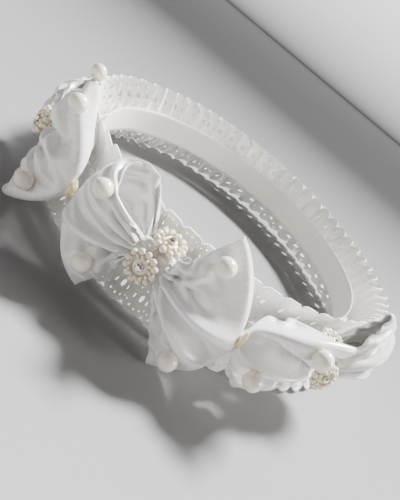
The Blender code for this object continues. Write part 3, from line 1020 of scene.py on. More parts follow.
def build_lace(lace, materials):
    head = BAND_RADIUS + LACE_HEAD
    rings = {
        "upper": {
            "s": (0.0, 0.25, 0.6, 1.0),
            "radius": (head, head, head + 0.0020, UPPER_LACE_TOP.x - 0.0002),
            "height": (SEAM_HEIGHT + 0.0006, 0.0300, 0.0370, UPPER_LACE_TOP.z + 0.0012),
            "wave_depth": 0.0036,
            "overlap": 0.0027,
            "slant": 0.9,
            "pleat_depth": 0.0008,
            "droop": 0.12,
            "phase": 0.4,
            "width": lace.upper_width,
        },
        "lower": {
            "s": (0.0, 0.22, 0.6, 1.0),
            "radius": (head, head + 0.0012, head + 0.0056, LOWER_LACE_FOOT.x - 0.0010),
            "height": (SEAM_HEIGHT - 0.0006, 0.0185, 0.0098, 0.0010),
            "wave_depth": 0.0034,
            "overlap": 0.0026,
            "slant": -0.8,
            "pleat_depth": 0.0008,
            "droop": -0.25,
            "phase": 2.1,
            "width": lace.lower_width,
        },
    }
    for name, ring in rings.items():
        pitch = lace.scallop_pitch
        flat, faces, rims, total = lace_strip(pitch, ring["width"])
        points = gather_lace(flat, total, ring["width"], ring)
        mesh = bpy.data.meshes.new(f"lace_{name}")
        mesh.from_pydata(points.tolist(), [], faces.tolist())
        layer = mesh.uv_layers.new(name="Flat")
        corners = np.zeros(len(mesh.loops), int)
        mesh.loops.foreach_get("vertex_index", corners)
        layer.data.foreach_set("uv", flat[corners].astype(np.float32).ravel())
        piece = add_object(f"lace_frill_{name}", mesh)
        group = piece.vertex_groups.new(name="Stitched rims")
        group.add(np.where(rims)[0].tolist(), 1.0, "REPLACE")
        solid = piece.modifiers.new("Thickness", "SOLIDIFY")
        solid.thickness = lace.rim_thickness
        solid.offset = 0.0
        solid.vertex_group = group.name
        solid.thickness_vertex_group = lace.cloth_thickness / lace.rim_thickness
        apply_modifier(piece, solid)
        piece.data.shade_smooth()
        settle(piece, materials["lace"], "lace", [f"lace_ruffle_{name}"])
        build_gathering_thread(name, ring, materials)


def build_gathering_thread(name, ring, materials):
    """The running thread that draws the lace's edge together, in and out of its small pleats."""
    level = SEAM_HEIGHT + (0.0022 if name == "upper" else -0.0022)
    per_pleat = 4
    count = ROOT_PLEATS * per_pleat
    turns = 2 * pi * np.arange(count + 1) / count
    pleat_phase = ROOT_PLEATS * turns + 0.9 * np.sin(7 * turns + ring["phase"])
    radius = ring["radius"][0] + ring["pleat_depth"] * np.sin(pleat_phase) * 0.9 + 0.0005
    path = np.stack((radius * np.sin(turns), -radius * np.cos(turns), np.full(count + 1, level)), axis=1)
    bm = bmesh.new()
    add_tube(bm, path, np.full(count + 1, GATHERING_THREAD_RADIUS), sides=5)
    settle(piece_from(bm, f"gathering_thread_{name}"), materials["selvedge"], "lace")


# The band: a ribbed ribbon against the head, and a ribbon folded round the wire


def ring_sheet(name, radius_at, height_at, columns, rows, spacing):
    """A closed ring of cloth: radius and height for each (angle, place across from 0 to 1)."""
    turns = 2 * pi * np.arange(columns) / columns
    across = np.linspace(0.0, 1.0, rows)
    angle, place = np.meshgrid(turns, across, indexing="ij")
    radius, height = radius_at(angle, place), height_at(angle, place)
    points = np.stack((radius * np.sin(angle), -radius * np.cos(angle), height), axis=-1)
    return add_object(name, grid_mesh(name, points, spacing, closed_rows=True))


def build_inner_band(band, materials):
    """Ribbed ribbon with flat edges; its ends overlap at the back."""
    low, high = BAND_LOW.z, BAND_HIGH.z
    middle = BAND_RADIUS - 0.0003
    ribs = int(2 * pi * middle / band.rib_pitch)
    overlap = radians(5.0)

    def radius_at(angle, place):
        edge = smooth_step(np.minimum(place, 1 - place) / 0.06)
        ribbed = np.where((np.arange(len(angle)) % 2)[:, None] == 0, 1.0, -1.0) * band.rib_depth * edge
        lapped = smooth_step((overlap - np.abs(angle - pi)) / radians(0.6))
        return middle + ribbed * 0.5 - 0.0005 * lapped

    def height_at(angle, place):
        return low + (high - low) * place + 0.00012 * np.sin(13 * angle) * np.cos(pi * place)

    spacing = (pi * middle / ribs, (high - low) / 8)
    piece = ring_sheet("ribbed_inner_band", radius_at, height_at, 2 * ribs, 9, spacing)
    thicken(piece, band.ribbon_thickness)
    piece.data.shade_smooth()
    settle(piece, materials["band"], "band_ribbon", ["inner_band"])

    bm = bmesh.new()
    for side in (-1, 1):
        for k in range(9):
            start = low + 0.0012 + k * (high - low - 0.0024) / 9
            heights = np.linspace(start, start + 0.0012, 4)
            lift = np.sin(pi * np.linspace(0, 1, 4)) * 0.0003
            angle = pi + side * (overlap - radians(0.9))
            radius = middle - 0.0007 - lift
            path = np.stack((radius * sin(angle), -radius * cos(angle), heights), axis=1)
            add_tube(bm, path, np.full(4, 0.00018), sides=5)
    settle(piece_from(bm, "band_lap_stitches"), materials["selvedge"], "band_ribbon")


def build_casing(materials):
    """Ribbon folded round the wire, puckered by its stitches, with its open edges down."""
    low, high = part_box("wire_casing")
    thickness = 0.0005
    tube = (high.z - low.z) / 2 - thickness / 2
    centre = high.x - tube - thickness / 2
    slit = radians(26)

    def round_tube(angle, place):
        return -pi / 2 - slit - place * (2 * pi - 2 * slit)

    def swell(angle, place):
        pucker = 0.00022 * np.sin(120 * angle + 2.0 * np.sin(9 * angle)) * np.sin(pi * place)
        return tube + np.minimum(pucker, 0.00012)

    def radius_at(angle, place):
        return centre + swell(angle, place) * np.cos(round_tube(angle, place))

    def height_at(angle, place):
        return SEAM_HEIGHT + swell(angle, place) * np.sin(round_tube(angle, place))

    columns, rows = 720, 15
    width = tube * (2 * pi - 2 * slit)
    spacing = (2 * pi * centre / columns, width / (rows - 1))
    piece = ring_sheet("folded_casing", radius_at, height_at, columns, rows, spacing)
    thicken(piece, 0.0004)
    piece.data.shade_smooth()
    settle(piece, materials["band"], "band_ribbon", ["wire_casing"])


def dress_wire(materials):
    for node in ("ring_wire", "wire_sleeve"):
        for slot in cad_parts[node].material_slots:
            slot.material = materials["wire"]


# Knots, pads, flowers, pearls and glue

KNOT_PLEATS = 13
KNOT_RADIUS = 0.0056
KNOT_LENGTH = 0.0166
THREAD_TURNS = 7
FLOWER_BEADS = 12
GLUE_POOL_RADIUS = 0.0045
GLUE_DAB_HALF_SIZE = (0.0014, 0.0020)


def bow_matrix(bow, radius, height):
    """A bow's own place: x round the crown, y towards its middle, z up."""
    angle = bow_angle(bow)
    return Matrix.Translation(ring_point(angle, radius, height)) @ Matrix.Rotation(angle, 4, "Z")


def faces_up(place, normal):
    return normal.z > 0.9


def start_disc(name, vertices, radius, depth, height):
    """A short cylinder at a height, open in edit mode."""
    deselect_all()
    bpy.ops.mesh.primitive_cylinder_add(
        vertices=vertices, radius=radius, depth=depth, location=(0.0, 0.0, height)
    )
    piece = name_active(name)
    bpy.ops.object.mode_set(mode="EDIT")
    return piece


def face_outwards():
    """In edit mode, turns every face outwards."""
    bpy.ops.mesh.select_all(action="SELECT")
    bpy.ops.mesh.normals_make_consistent(inside=False)


def leave_smooth(piece, levels=0):
    """Leaves edit mode with the piece rounded and shaded smooth."""
    bpy.ops.object.mode_set(mode="OBJECT")
    if levels:
        subdivide(piece, levels)
    piece.data.shade_smooth()
    return piece


def roughen(piece, name, noise_scale, strength):
    """Moves a piece's surface in and out by soft noise."""
    texture = bpy.data.textures.new(name, "CLOUDS")
    texture.noise_scale = noise_scale
    uneven = piece.modifiers.new(name, "DISPLACE")
    uneven.texture = texture
    uneven.strength = strength
    apply_modifier(piece, uneven)


def add_ring(segments, major_radius, minor_radius, **place):
    """One turn of thread, at its place."""
    deselect_all()
    bpy.ops.mesh.primitive_torus_add(
        major_segments=segments,
        minor_segments=6,
        major_radius=major_radius,
        minor_radius=minor_radius,
        **place,
    )
    return name_active("turn_of_thread")


def join_pieces(name, pieces):
    """Joins the pieces into the first of them, shaded smooth."""
    deselect_all()
    for piece in pieces:
        piece.select_set(True)
    bpy.context.view_layer.objects.active = pieces[0]
    bpy.ops.object.join()
    pieces[0].name = name
    pieces[0].data.shade_smooth()
    return pieces[0]


def pleated_bunch(name):
    """A bunch of ribbon along x, gripped at its middle: every other strip of a cylinder is pushed in."""
    deselect_all()
    bpy.ops.mesh.primitive_cylinder_add(
        vertices=2 * KNOT_PLEATS,
        radius=KNOT_RADIUS,
        depth=KNOT_LENGTH,
        end_fill_type="NGON",
        rotation=(0.0, pi / 2, 0.0),
    )
    piece = name_active(name)
    bpy.ops.object.mode_set(mode="EDIT")
    select_edges(piece, lambda a, b: abs(a.x - b.x) > 0.01)
    bpy.ops.mesh.subdivide(number_cuts=8)

    def in_furrow(place, normal):
        turn = (np.arctan2(place.z, place.y) / pi * KNOT_PLEATS) % 2
        return min(turn, 2 - turn) < 0.5

    select_where(piece, in_furrow, kind="VERT")
    bpy.ops.transform.resize(value=(1.0, 0.80, 0.80))
    for reach, size in ((0.0042, 0.94), (0.0024, 0.90), (0.0012, 0.92)):
        select_where(piece, lambda place, normal, reach=reach: abs(place.x) < reach, kind="VERT")
        bpy.ops.transform.resize(value=(1.0, size, size))
    select_where(piece, lambda place, normal: abs(place.x) > 0.0080, kind="VERT")
    bpy.ops.transform.resize(value=(1.0, 0.86, 0.86))
    return leave_smooth(piece, 2)


def thread_wraps(name):
    """Turns of thread round the bunch's waist, each a little askew."""
    turns = []
    for k in range(THREAD_TURNS):
        place = (0.0004 * (k - THREAD_TURNS // 2), 0.0, 0.0)
        tilt = (0.0, pi / 2 + radians(3.0) * sin(2.4 * k), radians(4.0) * cos(1.7 * k))
        turns.append(add_ring(36, 0.0048 + 0.00008 * (k % 3), 0.00024, location=place, rotation=tilt))
    return join_pieces(name, turns)


def felt_block(name, size):
    """A cut piece of felt: soft edges and an uneven, fibrous face."""
    deselect_all()
    bpy.ops.mesh.primitive_cube_add(size=1.0)
    bpy.context.active_object.scale = size
    piece = name_active(name)
    bpy.ops.object.mode_set(mode="EDIT")
    bpy.ops.mesh.select_all(action="SELECT")
    bpy.ops.mesh.bevel(offset=0.0011, segments=3)
    bpy.ops.mesh.select_all(action="SELECT")
    bpy.ops.mesh.subdivide(number_cuts=3)
    bpy.ops.object.mode_set(mode="OBJECT")
    subdivide(piece, 1)
    roughen(piece, "felt fibres", 0.0012, 0.00035)
    piece.data.shade_smooth()
    return piece


def place_copy(name, model, matrix):
    """A copy of a model with its own mesh, moved to its place."""
    mesh = model.data.copy()
    mesh.transform(matrix)
    return add_object(name, mesh)


def remove_models(*models):
    for model in models:
        bpy.data.objects.remove(model, do_unlink=True)


def build_knots(materials):
    bunch, wraps = pleated_bunch("bunch_model"), thread_wraps("wraps_model")
    low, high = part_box("bow_2_pad")
    pad_size = (high.x - low.x, high.y - low.y, high.z - low.z)
    felt = felt_block("felt_model", pad_size)
    for bow in BOWS:
        knot = node_middle(f"{bow}_knot")
        seat = bow_matrix(bow, radius_of(knot) + 0.0004, knot.z)
        piece = place_copy(f"{bow}_gathered_knot", bunch, seat)
        settle(piece, materials["satin_plain"], "satin", [f"{bow}_knot"])
        settle(place_copy(f"{bow}_thread_wraps", wraps, seat), materials["thread"], "satin")
        pad = node_middle(f"{bow}_pad")
        piece = place_copy(f"{bow}_felt_pad", felt, bow_matrix(bow, radius_of(pad), pad.z))
        settle(piece, materials["felt"], "felt", [f"{bow}_pad"])
    remove_models(bunch, wraps, felt)


def bored_bead(name, radius):
    """A round bead with a hole: a sphere whose poles are opened and joined through its middle."""
    deselect_all()
    bpy.ops.mesh.primitive_uv_sphere_add(segments=12, ring_count=8, radius=radius)
    piece = name_active(name)
    bpy.ops.object.mode_set(mode="EDIT")
    select_where(piece, lambda place, normal: abs(place.z) > 0.93 * radius)
    bpy.ops.mesh.delete(type="FACE")
    select_where(piece, lambda place, normal: abs(place.z) > 0.90 * radius, kind="VERT")
    bpy.ops.mesh.bridge_edge_loops()
    face_outwards()
    return leave_smooth(piece)


def bead_places(count, ring_radius, height, spin):
    """Each bead's place in the ring, its hole along the ring's thread, each a little askew."""
    places = []
    for k in range(count):
        angle = 2 * pi * (k + spin) / count
        reach = ring_radius + 0.00014 * sin(5.3 * k)
        move = Matrix.Translation((reach * cos(angle), reach * sin(angle), height))
        tilt = Matrix.Rotation(pi / 2 + 0.12 * sin(3.1 * k), 4, "X")
        places.append(move @ Matrix.Rotation(angle, 4, "Z") @ tilt)
    return places


def flower_beads(name, sizes):
    large = bored_bead("large_bead", sizes.bead_radius)
    small = bored_bead("small_bead", sizes.seed_radius)
    outer_places = bead_places(FLOWER_BEADS, sizes.bead_ring, sizes.bead_radius, 0.0)
    seed_places = bead_places(FLOWER_BEADS, sizes.seed_ring, 1.9 * sizes.bead_radius, 0.5)
    outer = join_copies("outer", large, outer_places)
    seeds = join_copies("seeds", small, seed_places)
    thread = add_ring(48, sizes.bead_ring, 0.00022, location=(0.0, 0.0, sizes.bead_radius))
    remove_models(large, small)
    return join_pieces(name, (thread, outer, seeds))


def pearl_cup(name, radius):
    """A domed cup with a rounded rim and a sunk seat for the stone."""
    piece = start_disc(name, 32, 0.86 * radius, 0.0010, 0.0008)
    # Each step draws the top out by a rise, or sinks it, and then resizes it.
    steps = ((0.0008, 1.16), (0.0010, 0.97), (0.0007, 0.86), (0.0001, 0.80), (-0.0006, 0.88), (-0.0007, 0.96))
    for rise, size in steps:
        top = max(vertex.co.z for vertex in bmesh.from_edit_mesh(piece.data).verts)
        if rise > 0:
            select_where(piece, lambda place, normal, top=top: place.z > top - 0.00001 and normal.z > 0.9)
        bpy.ops.mesh.extrude_region_move(TRANSFORM_OT_translate={"value": (0.0, 0.0, rise)})
        bpy.ops.transform.resize(value=(size, size, 1.0))
    face_outwards()
    return leave_smooth(piece, 2)


def foil_setting(name, radius):
    """A thin metal cup with a rolled rim that holds the stone."""
    piece = start_disc(name, 24, radius, 0.0009, 0.0030)
    select_where(piece, faces_up)
    bpy.ops.mesh.inset(thickness=0.00028)
    bpy.ops.mesh.extrude_region_move(TRANSFORM_OT_translate={"value": (0.0, 0.0, -0.00045)})
    bpy.ops.mesh.select_all(action="SELECT")
    bpy.ops.mesh.bevel(offset=0.00007, segments=2)
    bpy.ops.object.mode_set(mode="OBJECT")
    make_active(piece)
    bpy.ops.object.shade_smooth_by_angle(angle=radians(35))
    return piece


def cut_stone(name, radius):
    """A faceted stone: a girdle, a crown drawn in to a table, and its corners cut again."""
    piece = start_disc(name, 8, radius, 0.0003, 0.0033)
    select_where(piece, faces_up)
    bpy.ops.mesh.extrude_region_move(TRANSFORM_OT_translate={"value": (0.0, 0.0, 0.0006)})
    bpy.ops.transform.resize(value=(0.58, 0.58, 1.0))
    select_edges(piece, lambda a, b: abs(a.z - b.z) > 0.0005)
    bpy.ops.mesh.bevel(offset=0.00028, segments=1)
    bpy.ops.object.mode_set(mode="OBJECT")
    return piece


def glue_disc(name, radius):
    """The pool of glue that a flower is set in: a disc whose rim sags and spreads unevenly."""
    piece = start_disc(name, 24, radius, 0.0022, -0.0008)
    select_where(piece, faces_up)
    bpy.ops.mesh.inset(thickness=0.0009)
    bpy.ops.transform.translate(value=(0.0, 0.0, 0.0006))
    select_where(piece, lambda place, normal: place.z < -0.0015, kind="VERT")
    bpy.ops.transform.resize(value=(1.18, 1.12, 1.0))
    return leave_smooth(piece, 2)


def seat_matrix(place, facing):
    """A place whose z looks along facing and whose x stays level."""
    level = facing.cross(Vector((0.0, 0.0, 1.0))).normalized()
    turn = Matrix((level, facing.cross(level), facing)).transposed().to_4x4()
    return Matrix.Translation(place) @ turn


def flower_seat(base, bead_radius):
    """A flower's back and the way it faces, from its beads and its stone in the frame."""
    beads, stone = node_middle(f"{base}_beads"), node_middle(f"{base}_stone")
    facing = (stone - beads).normalized()
    return seat_matrix(beads - facing * bead_radius, facing)


def build_flowers(sizes, materials):
    # Each part: its model, its piece's name, its material, its slot, and whether the frame has a node for it.
    foil_radius = 1.12 * sizes.stone_radius
    parts = {
        "beads": (flower_beads("beads_model", sizes), "bead_ring", "bead", "bead", True),
        "cup": (pearl_cup("cup_model", sizes.cup_radius), "pearl_cup", "pearl", "pearl", True),
        "foil": (foil_setting("foil_model", foil_radius), "foil_setting", "foil", "rhinestone", False),
        "stone": (cut_stone("stone_model", sizes.stone_radius), "cut_stone", "stone", "rhinestone", True),
        "glue": (glue_disc("glue_model", GLUE_POOL_RADIUS), "glue_pool", "glue", "glue", False),
    }
    for number in range(1, len(BOWS) + 1):
        for place in ("front", "top"):
            base = f"flower_{number}_{place}"
            seat = flower_seat(base, sizes.bead_radius)
            for part, (model, called, material, slot, in_frame) in parts.items():
                nodes = [f"{base}_{part}"] if in_frame else []
                settle(place_copy(f"{base}_{called}", model, seat), materials[material], slot, nodes)
    remove_models(*(part[0] for part in parts.values()))


def round_pearl(name, radius):
    """A pearl flattened where it is glued, at the bottom."""
    deselect_all()
    bpy.ops.mesh.primitive_uv_sphere_add(segments=32, ring_count=20, radius=radius)
    piece = name_active(name)
    bpy.ops.object.mode_set(mode="EDIT")
    bpy.ops.mesh.select_all(action="SELECT")
    cut = (0, 0, -0.86 * radius)
    bpy.ops.mesh.bisect(plane_co=cut, plane_no=(0, 0, 1), use_fill=True, clear_inner=True)
    bpy.ops.mesh.inset(thickness=0.0002)
    bpy.ops.transform.translate(value=(0.0, 0.0, 0.0001))
    face_outwards()
    return leave_smooth(piece)


def glue_film(name, radius):
    """The thin skirt of glue round a pearl's seat."""
    piece = start_disc(name, 20, 0.62 * radius, 0.0004, -0.9 * radius)
    select_where(piece, faces_up)
    bpy.ops.mesh.inset(thickness=0.0007)
    bpy.ops.transform.translate(value=(0.0, 0.0, 0.0003))
    select_where(piece, lambda place, normal: normal.z < -0.9)
    bpy.ops.transform.resize(value=(1.12, 0.96, 1.0))
    return leave_smooth(piece, 1)


# How much a miss towards or away from the crown's middle counts when a pearl looks for its seat.
DEPTH_SHARE = 0.1
SUNK_PEARL = 0.88


def seat_on_cloth(wing, target, radius):
    """The place on a wing's cloth in front of or behind a point, and the way it faces, as a matrix."""
    points = WING_SHAPES[wing]
    rows = points.shape[0]
    front = points[2 : rows // 2 + 2, 2:-2]
    along = points[4 : rows // 2 + 4, 2:-2] - points[0 : rows // 2, 2:-2]
    across = points[2 : rows // 2 + 2, 4:] - points[2 : rows // 2 + 2, :-4]
    normals = np.cross(along, across)
    normals /= np.maximum(np.linalg.norm(normals, axis=-1, keepdims=True), 1e-12)
    outward = front * (1.0, 1.0, 0.0)
    normals *= np.sign(np.sum(normals * outward, axis=-1, keepdims=True))
    seats = front + normals * radius
    away = seats - np.array(target)
    radial = Vector((target.x, target.y, 0.0)).normalized()
    depth = away @ np.array(radial)
    gap = np.linalg.norm(away, axis=-1) ** 2 - (1 - DEPTH_SHARE) * depth**2
    i, j = np.unravel_index(np.argmin(gap), gap.shape)
    facing = Vector(normals[i, j])
    return seat_matrix(Vector(front[i, j]) + facing * SUNK_PEARL * radius, facing)


def build_pearls(sizes, materials):
    radius = sizes.pearl_radius
    pearl, film = round_pearl("pearl_model", radius), glue_film("film_model", radius)
    for node in [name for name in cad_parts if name.startswith("pearl_")]:
        number, side, level = node.split("_")[1:]
        seat = seat_on_cloth(f"bow_{number}_{side}", node_middle(node), radius)
        settle(place_copy(f"loose_{node}", pearl, seat), materials["pearl"], "pearl", [node])
        settle(place_copy(f"glue_film_{number}_{side}_{level}", film, seat), materials["glue"], "glue")
    remove_models(pearl, film)


def build_glue_dabs(materials):
    """Hot glue squeezed into the notch between two bows: a lump with a foot and a drawn-out top."""
    for number in (1, 2):
        node = f"glue_dab_{number}"
        low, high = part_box(node)
        middle = (low + high) / 2
        deselect_all()
        bpy.ops.mesh.primitive_ico_sphere_add(subdivisions=4, radius=1.0)
        piece = name_active(f"hot_glue_{number}")
        bpy.ops.object.mode_set(mode="EDIT")
        select_where(piece, lambda place, normal: place.z < -0.3, kind="VERT")
        bpy.ops.transform.resize(value=(1.35, 1.2, 1.15))
        select_where(piece, lambda place, normal: place.z > 0.55, kind="VERT")
        bpy.ops.transform.resize(value=(0.75, 1.3, 1.2))
        bpy.ops.object.mode_set(mode="OBJECT")
        roughen(piece, "glue lumps", 0.7, 0.45)
        size = Matrix.Diagonal((*GLUE_DAB_HALF_SIZE, (high.z - low.z) / 2, 1.0))
        piece.data.transform(Matrix.Translation(middle) @ Matrix.Rotation(angle_of(middle), 4, "Z") @ size)
        piece.data.shade_smooth()
        settle(piece, materials["glue"], "glue", [node])


# The stage: a plain pale floor, soft lights and the camera

FLOOR_REACH = 3.0
FLOOR_DROP = 0.0002
BACKDROP_HEIGHT = 3.5
BACKDROP_BEND = 1.6
GLOW_HEIGHT = 0.57
GLOW_CURVE = 0.55
LIT_MIDDLE = (0.0, 0.0, 0.03)


def add_area_light(name, place, target, size, power, colour):
    light = bpy.data.lights.new(name, "AREA")
    light.shape = "DISK"
    light.size = size
    light.energy = power
    light.color = colour
    lamp = add_object(name, light)
    lamp.location = place
    lamp.rotation_euler = (Vector(target) - Vector(place)).to_track_quat("-Z", "Y").to_euler()


def floor_material(colour, glow):
    """A plain pale floor; its backdrop glows as it climbs, because no lamp faces it."""
    material, nodes, links, shader = new_material("Pale floor")
    place = nodes.new("ShaderNodeTexCoord").outputs["Object"]
    patches = noise_node(nodes, links, place, Scale=6.0)
    darker = tuple(0.97 * channel for channel in colour)
    stops = ((0.3, darker), (0.7, colour))
    colour_from(nodes, links, patches.outputs["Fac"], stops, shader.inputs["Base Color"])
    set_inputs(shader, {"Roughness": 0.9, "Emission Strength": glow})
    split = nodes.new("ShaderNodeSeparateXYZ")
    links.new(place, split.inputs[0])
    climb = nodes.new("ShaderNodeMapRange")
    set_inputs(climb, {"From Min": 0.0, "From Max": GLOW_HEIGHT})
    links.new(split.outputs["Z"], climb.inputs["Value"])
    bend = maths(nodes, links, "POWER", climb.outputs["Result"], GLOW_CURVE)
    stops = ((0.0, (0.0, 0.0, 0.0)), (1.0, colour))
    colour_from(nodes, links, bend, stops, shader.inputs["Emission Color"])
    return material


def sweep_floor(material):
    """A plain floor that curves up behind into a backdrop."""
    far = FLOOR_REACH - 0.1
    deselect_all()
    bpy.ops.mesh.primitive_plane_add(size=2 * FLOOR_REACH, location=(0.0, 0.0, -FLOOR_DROP))
    floor = name_active("floor")
    bpy.ops.object.mode_set(mode="EDIT")
    select_edges(floor, lambda a, b: min(a.y, b.y) > far)
    bpy.ops.mesh.extrude_region_move(TRANSFORM_OT_translate={"value": (0.0, 0.0, BACKDROP_HEIGHT)})
    select_edges(floor, lambda a, b: min(a.y, b.y) > far and max(a.z, b.z) < 0.1)
    bpy.ops.mesh.bevel(offset=BACKDROP_BEND, segments=60)
    bpy.ops.object.mode_set(mode="OBJECT")
    floor.data.materials.append(material)


def build_stage(stage):
    key_from = Vector(stage.key_from).normalized()
    sweep_floor(floor_material(tuple(stage.floor_colour), stage.key_strength * key_from.z / pi))

    key = bpy.data.lights.new("key", "SUN")
    key.energy = stage.key_strength
    key.angle = stage.key_softness
    key.color = (1.0, 0.985, 0.96)
    add_object("key", key).rotation_euler = key_from.to_track_quat("Z", "Y").to_euler()
    add_area_light("fill", (-0.7, -1.2, 0.45), LIT_MIDDLE, 1.0, stage.fill_power, (1.0, 0.93, 0.84))
    add_area_light("rim", (1.1, 0.1, 0.45), LIT_MIDDLE, 0.4, stage.rim_power, (1.0, 0.96, 0.91))

    world = bpy.data.worlds.new("Studio")
    bpy.context.scene.world = world
    world.use_nodes = True
    background = world.node_tree.nodes["Background"]
    background.inputs["Color"].default_value = (0.86, 0.84, 0.90, 1.0)
    background.inputs["Strength"].default_value = stage.ambient

    lens = bpy.data.cameras.new("camera")
    lens.lens = stage.lens
    lens.sensor_width = 36.0
    lens.clip_start = 0.01
    lens.clip_end = 20.0
    camera = add_object("camera", lens)
    heading, elevation, roll = stage.camera_heading, stage.camera_elevation, stage.camera_roll
    aim = Matrix.Rotation(heading, 4, "Z") @ Matrix.Rotation(pi / 2 - elevation, 4, "X")
    camera.matrix_world = Matrix.Translation(stage.camera_place) @ aim @ Matrix.Rotation(roll, 4, "Z")
    bpy.context.scene.camera = camera


# Settings that a user may change


class CrownSizes(bpy.types.PropertyGroup):
    """Sizes of the satin ribbon."""

    ribbon_width: FloatProperty(
        name="Ribbon width", description="Flat width of the bows' ribbon", default=0.074, unit="LENGTH"
    )
    ribbon_thickness: FloatProperty(
        name="Ribbon thickness", description="Thickness of the satin", default=0.00035, unit="LENGTH"
    )
    stitch_pitch: FloatProperty(
        name="Stitch pitch", description="Distance between edge stitches", default=0.0011, unit="LENGTH"
    )
    selvedge_radius: FloatProperty(
        name="Edge cord", description="Radius of the corded edge", default=0.00038, unit="LENGTH"
    )


class CrownLace(bpy.types.PropertyGroup):
    """Sizes of the eyelet lace."""

    upper_width: FloatProperty(
        name="Upper lace", description="Flat width of the upper lace", default=0.021, unit="LENGTH"
    )
    lower_width: FloatProperty(
        name="Lower lace", description="Flat width of the lower lace", default=0.026, unit="LENGTH"
    )
    scallop_pitch: FloatProperty(
        name="Scallop", description="Width of one scallop when flat", default=0.0156, unit="LENGTH"
    )
    cloth_thickness: FloatProperty(
        name="Cloth", description="Thickness between the stitched rims", default=0.0004, unit="LENGTH"
    )
    rim_thickness: FloatProperty(
        name="Stitched rim", description="Thickness at eyelets and picots", default=0.0009, unit="LENGTH"
    )


class CrownBand(bpy.types.PropertyGroup):
    """Sizes of the ribbon ring."""

    rib_pitch: FloatProperty(
        name="Rib pitch",
        description="Distance between the ribs of the inner ribbon",
        default=0.0008,
        unit="LENGTH",
    )
    rib_depth: FloatProperty(name="Rib depth", description="Depth of a rib", default=0.00022, unit="LENGTH")
    ribbon_thickness: FloatProperty(
        name="Band thickness", description="Thickness of the inner ribbon", default=0.0004, unit="LENGTH"
    )


class CrownTrims(bpy.types.PropertyGroup):
    """Sizes of the flowers and the loose pearls."""

    bead_radius: FloatProperty(
        name="Bead", description="Radius of a petal bead", default=0.0014, unit="LENGTH"
    )
    bead_ring: FloatProperty(
        name="Petal ring", description="Radius that the petal beads sit on", default=0.0057, unit="LENGTH"
    )
    seed_radius: FloatProperty(
        name="Seed bead", description="Radius of a seed bead", default=0.00078, unit="LENGTH"
    )
    seed_ring: FloatProperty(
        name="Seed ring", description="Radius that the seed beads sit on", default=0.00415, unit="LENGTH"
    )
    cup_radius: FloatProperty(
        name="Cup", description="Radius of the pearl cup", default=0.0035, unit="LENGTH"
    )
    stone_radius: FloatProperty(
        name="Stone", description="Radius of the cut stone", default=0.0016, unit="LENGTH"
    )
    pearl_radius: FloatProperty(
        name="Pearl", description="Radius of a loose pearl", default=0.004, unit="LENGTH"
    )


class CrownColours(bpy.types.PropertyGroup):
    """Colours of the finishes."""

    satin: FloatVectorProperty(
        name="Satin", description="Colour of the satin", default=(0.93, 0.925, 0.93), subtype="COLOR"
    )
    lace: FloatVectorProperty(
        name="Lace", description="Colour of the lace", default=(0.95, 0.945, 0.92), subtype="COLOR"
    )
    pearl: FloatVectorProperty(
        name="Pearl", description="Colour of the pearls", default=(0.90, 0.84, 0.73), subtype="COLOR"
    )
    bead: FloatVectorProperty(
        name="Bead", description="Colour of the small beads", default=(0.86, 0.79, 0.62), subtype="COLOR"
    )
    glue: FloatVectorProperty(
        name="Glue", description="Colour of the hot glue", default=(0.80, 0.66, 0.34), subtype="COLOR"
    )


class CrownStage(bpy.types.PropertyGroup):
    """Camera, lights and floor."""

    camera_place: FloatVectorProperty(
        name="Camera place",
        description="Where the camera stands",
        default=(0.0283, -0.2632, 0.1219),
        unit="LENGTH",
    )
    camera_heading: FloatProperty(
        name="Heading",
        description="Turn of the view round the vertical",
        default=radians(6.0),
        subtype="ANGLE",
    )
    camera_elevation: FloatProperty(
        name="Elevation", description="How far the view looks down", default=radians(25.63), subtype="ANGLE"
    )
    camera_roll: FloatProperty(
        name="Roll", description="Tilt of the camera about its view", default=radians(39.7), subtype="ANGLE"
    )
    lens: FloatProperty(name="Lens", description="Focal length in millimetres", default=34.56)
    floor_colour: FloatVectorProperty(
        name="Floor", description="Colour of the floor", default=(0.26, 0.26, 0.265), subtype="COLOR"
    )
    key_strength: FloatProperty(
        name="Key", description="Strength of the light from behind and above", default=30.0
    )
    key_softness: FloatProperty(
        name="Key softness",
        description="Angle that the key light fills",
        default=radians(14.0),
        subtype="ANGLE",
    )
    key_from: FloatVectorProperty(
        name="Key direction", description="Where the key light comes from", default=(0.30, 0.80, 0.95)
    )
    fill_power: FloatProperty(name="Fill", description="Power of the front light", default=5.0, unit="POWER")
    rim_power: FloatProperty(name="Rim", description="Power of the side light", default=12.0, unit="POWER")
    ambient: FloatProperty(name="Ambient", description="Strength of the light all round", default=0.16)


class CrownSettings(bpy.types.PropertyGroup):
    """All the crown's settings."""

    sizes: PointerProperty(type=CrownSizes)
    lace: PointerProperty(type=CrownLace)
    band: PointerProperty(type=CrownBand)
    trims: PointerProperty(type=CrownTrims)
    colours: PointerProperty(type=CrownColours)
    stage: PointerProperty(type=CrownStage)


MATERIALS = {}


def crown_materials(context):
    """The crown's materials, made once."""
    if not MATERIALS:
        MATERIALS.update(make_materials(context.scene.flower_crown.colours))
    return MATERIALS


# Operators


class CROWN_OT_knots(bpy.types.Operator):
    """Tie the ribbon bunches with thread and cut the felt pads behind them"""

    bl_idname = "crown.knots"
    bl_label = "Knots and felt pads"

    def execute(self, context):
        build_knots(crown_materials(context))
        return {"FINISHED"}


class CROWN_OT_satin_loops(bpy.types.Operator):
    """Gather the satin ribbon into the bows' loops"""

    bl_idname = "crown.satin_loops"
    bl_label = "Satin loops"

    def execute(self, context):
        build_wings(context.scene.flower_crown.sizes, crown_materials(context))
        return {"FINISHED"}


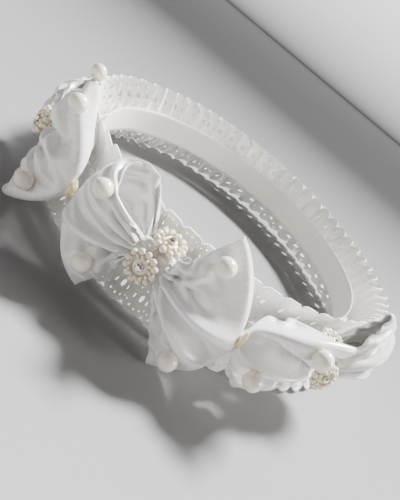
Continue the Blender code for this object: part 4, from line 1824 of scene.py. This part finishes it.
class CROWN_OT_band(bpy.types.Operator):
    """Lay the inner ribbon, fold the casing and finish the wire"""

    bl_idname = "crown.band"
    bl_label = "Ribbon ring"

    def execute(self, context):
        build_inner_band(context.scene.flower_crown.band, crown_materials(context))
        build_casing(crown_materials(context))
        dress_wire(crown_materials(context))
        return {"FINISHED"}


class CROWN_OT_lace(bpy.types.Operator):
    """Gather the eyelet lace above and below the ribbon ring"""

    bl_idname = "crown.lace"
    bl_label = "Lace frills"

    def execute(self, context):
        build_lace(context.scene.flower_crown.lace, crown_materials(context))
        return {"FINISHED"}


class CROWN_OT_flowers(bpy.types.Operator):
    """Thread the bead flowers and set their stones"""

    bl_idname = "crown.flowers"
    bl_label = "Pearl flowers"

    def execute(self, context):
        build_flowers(context.scene.flower_crown.trims, crown_materials(context))
        return {"FINISHED"}


class CROWN_OT_pearls(bpy.types.Operator):
    """Glue the loose pearls on the loops"""

    bl_idname = "crown.pearls"
    bl_label = "Loose pearls"

    def execute(self, context):
        build_pearls(context.scene.flower_crown.trims, crown_materials(context))
        return {"FINISHED"}


class CROWN_OT_glue(bpy.types.Operator):
    """Squeeze hot glue between neighbouring bows"""

    bl_idname = "crown.glue"
    bl_label = "Glue dabs"

    def execute(self, context):
        build_glue_dabs(crown_materials(context))
        return {"FINISHED"}


class CROWN_OT_stage(bpy.types.Operator):
    """Set the floor, the lights and the camera"""

    bl_idname = "crown.stage"
    bl_label = "Stage"

    def execute(self, context):
        build_stage(context.scene.flower_crown.stage)
        return {"FINISHED"}


class CROWN_PT_panel(bpy.types.Panel):
    """Lists the crown's pieces in the order they are made"""

    bl_label = "Flower Crown"
    bl_idname = "CROWN_PT_panel"
    bl_space_type = "VIEW_3D"
    bl_region_type = "UI"
    bl_category = "Flower Crown"

    def draw(self, context):
        for operator in OPERATORS:
            self.layout.operator(operator.bl_idname)


GROUPS = (CrownSizes, CrownLace, CrownBand, CrownTrims, CrownColours, CrownStage, CrownSettings)
OPERATORS = (
    CROWN_OT_band,
    CROWN_OT_lace,
    CROWN_OT_knots,
    CROWN_OT_satin_loops,
    CROWN_OT_flowers,
    CROWN_OT_pearls,
    CROWN_OT_glue,
    CROWN_OT_stage,
)


def register():
    for group in (*GROUPS, *OPERATORS, CROWN_PT_panel):
        bpy.utils.register_class(group)
    bpy.types.Scene.flower_crown = PointerProperty(type=CrownSettings)


def unregister():
    del bpy.types.Scene.flower_crown
    for group in reversed((*GROUPS, *OPERATORS, CROWN_PT_panel)):
        bpy.utils.unregister_class(group)


def main():
    register()
    for operator in OPERATORS:
        space, name = operator.bl_idname.split(".")
        getattr(getattr(bpy.ops, space), name)()


if __name__ == "__main__":
    main()
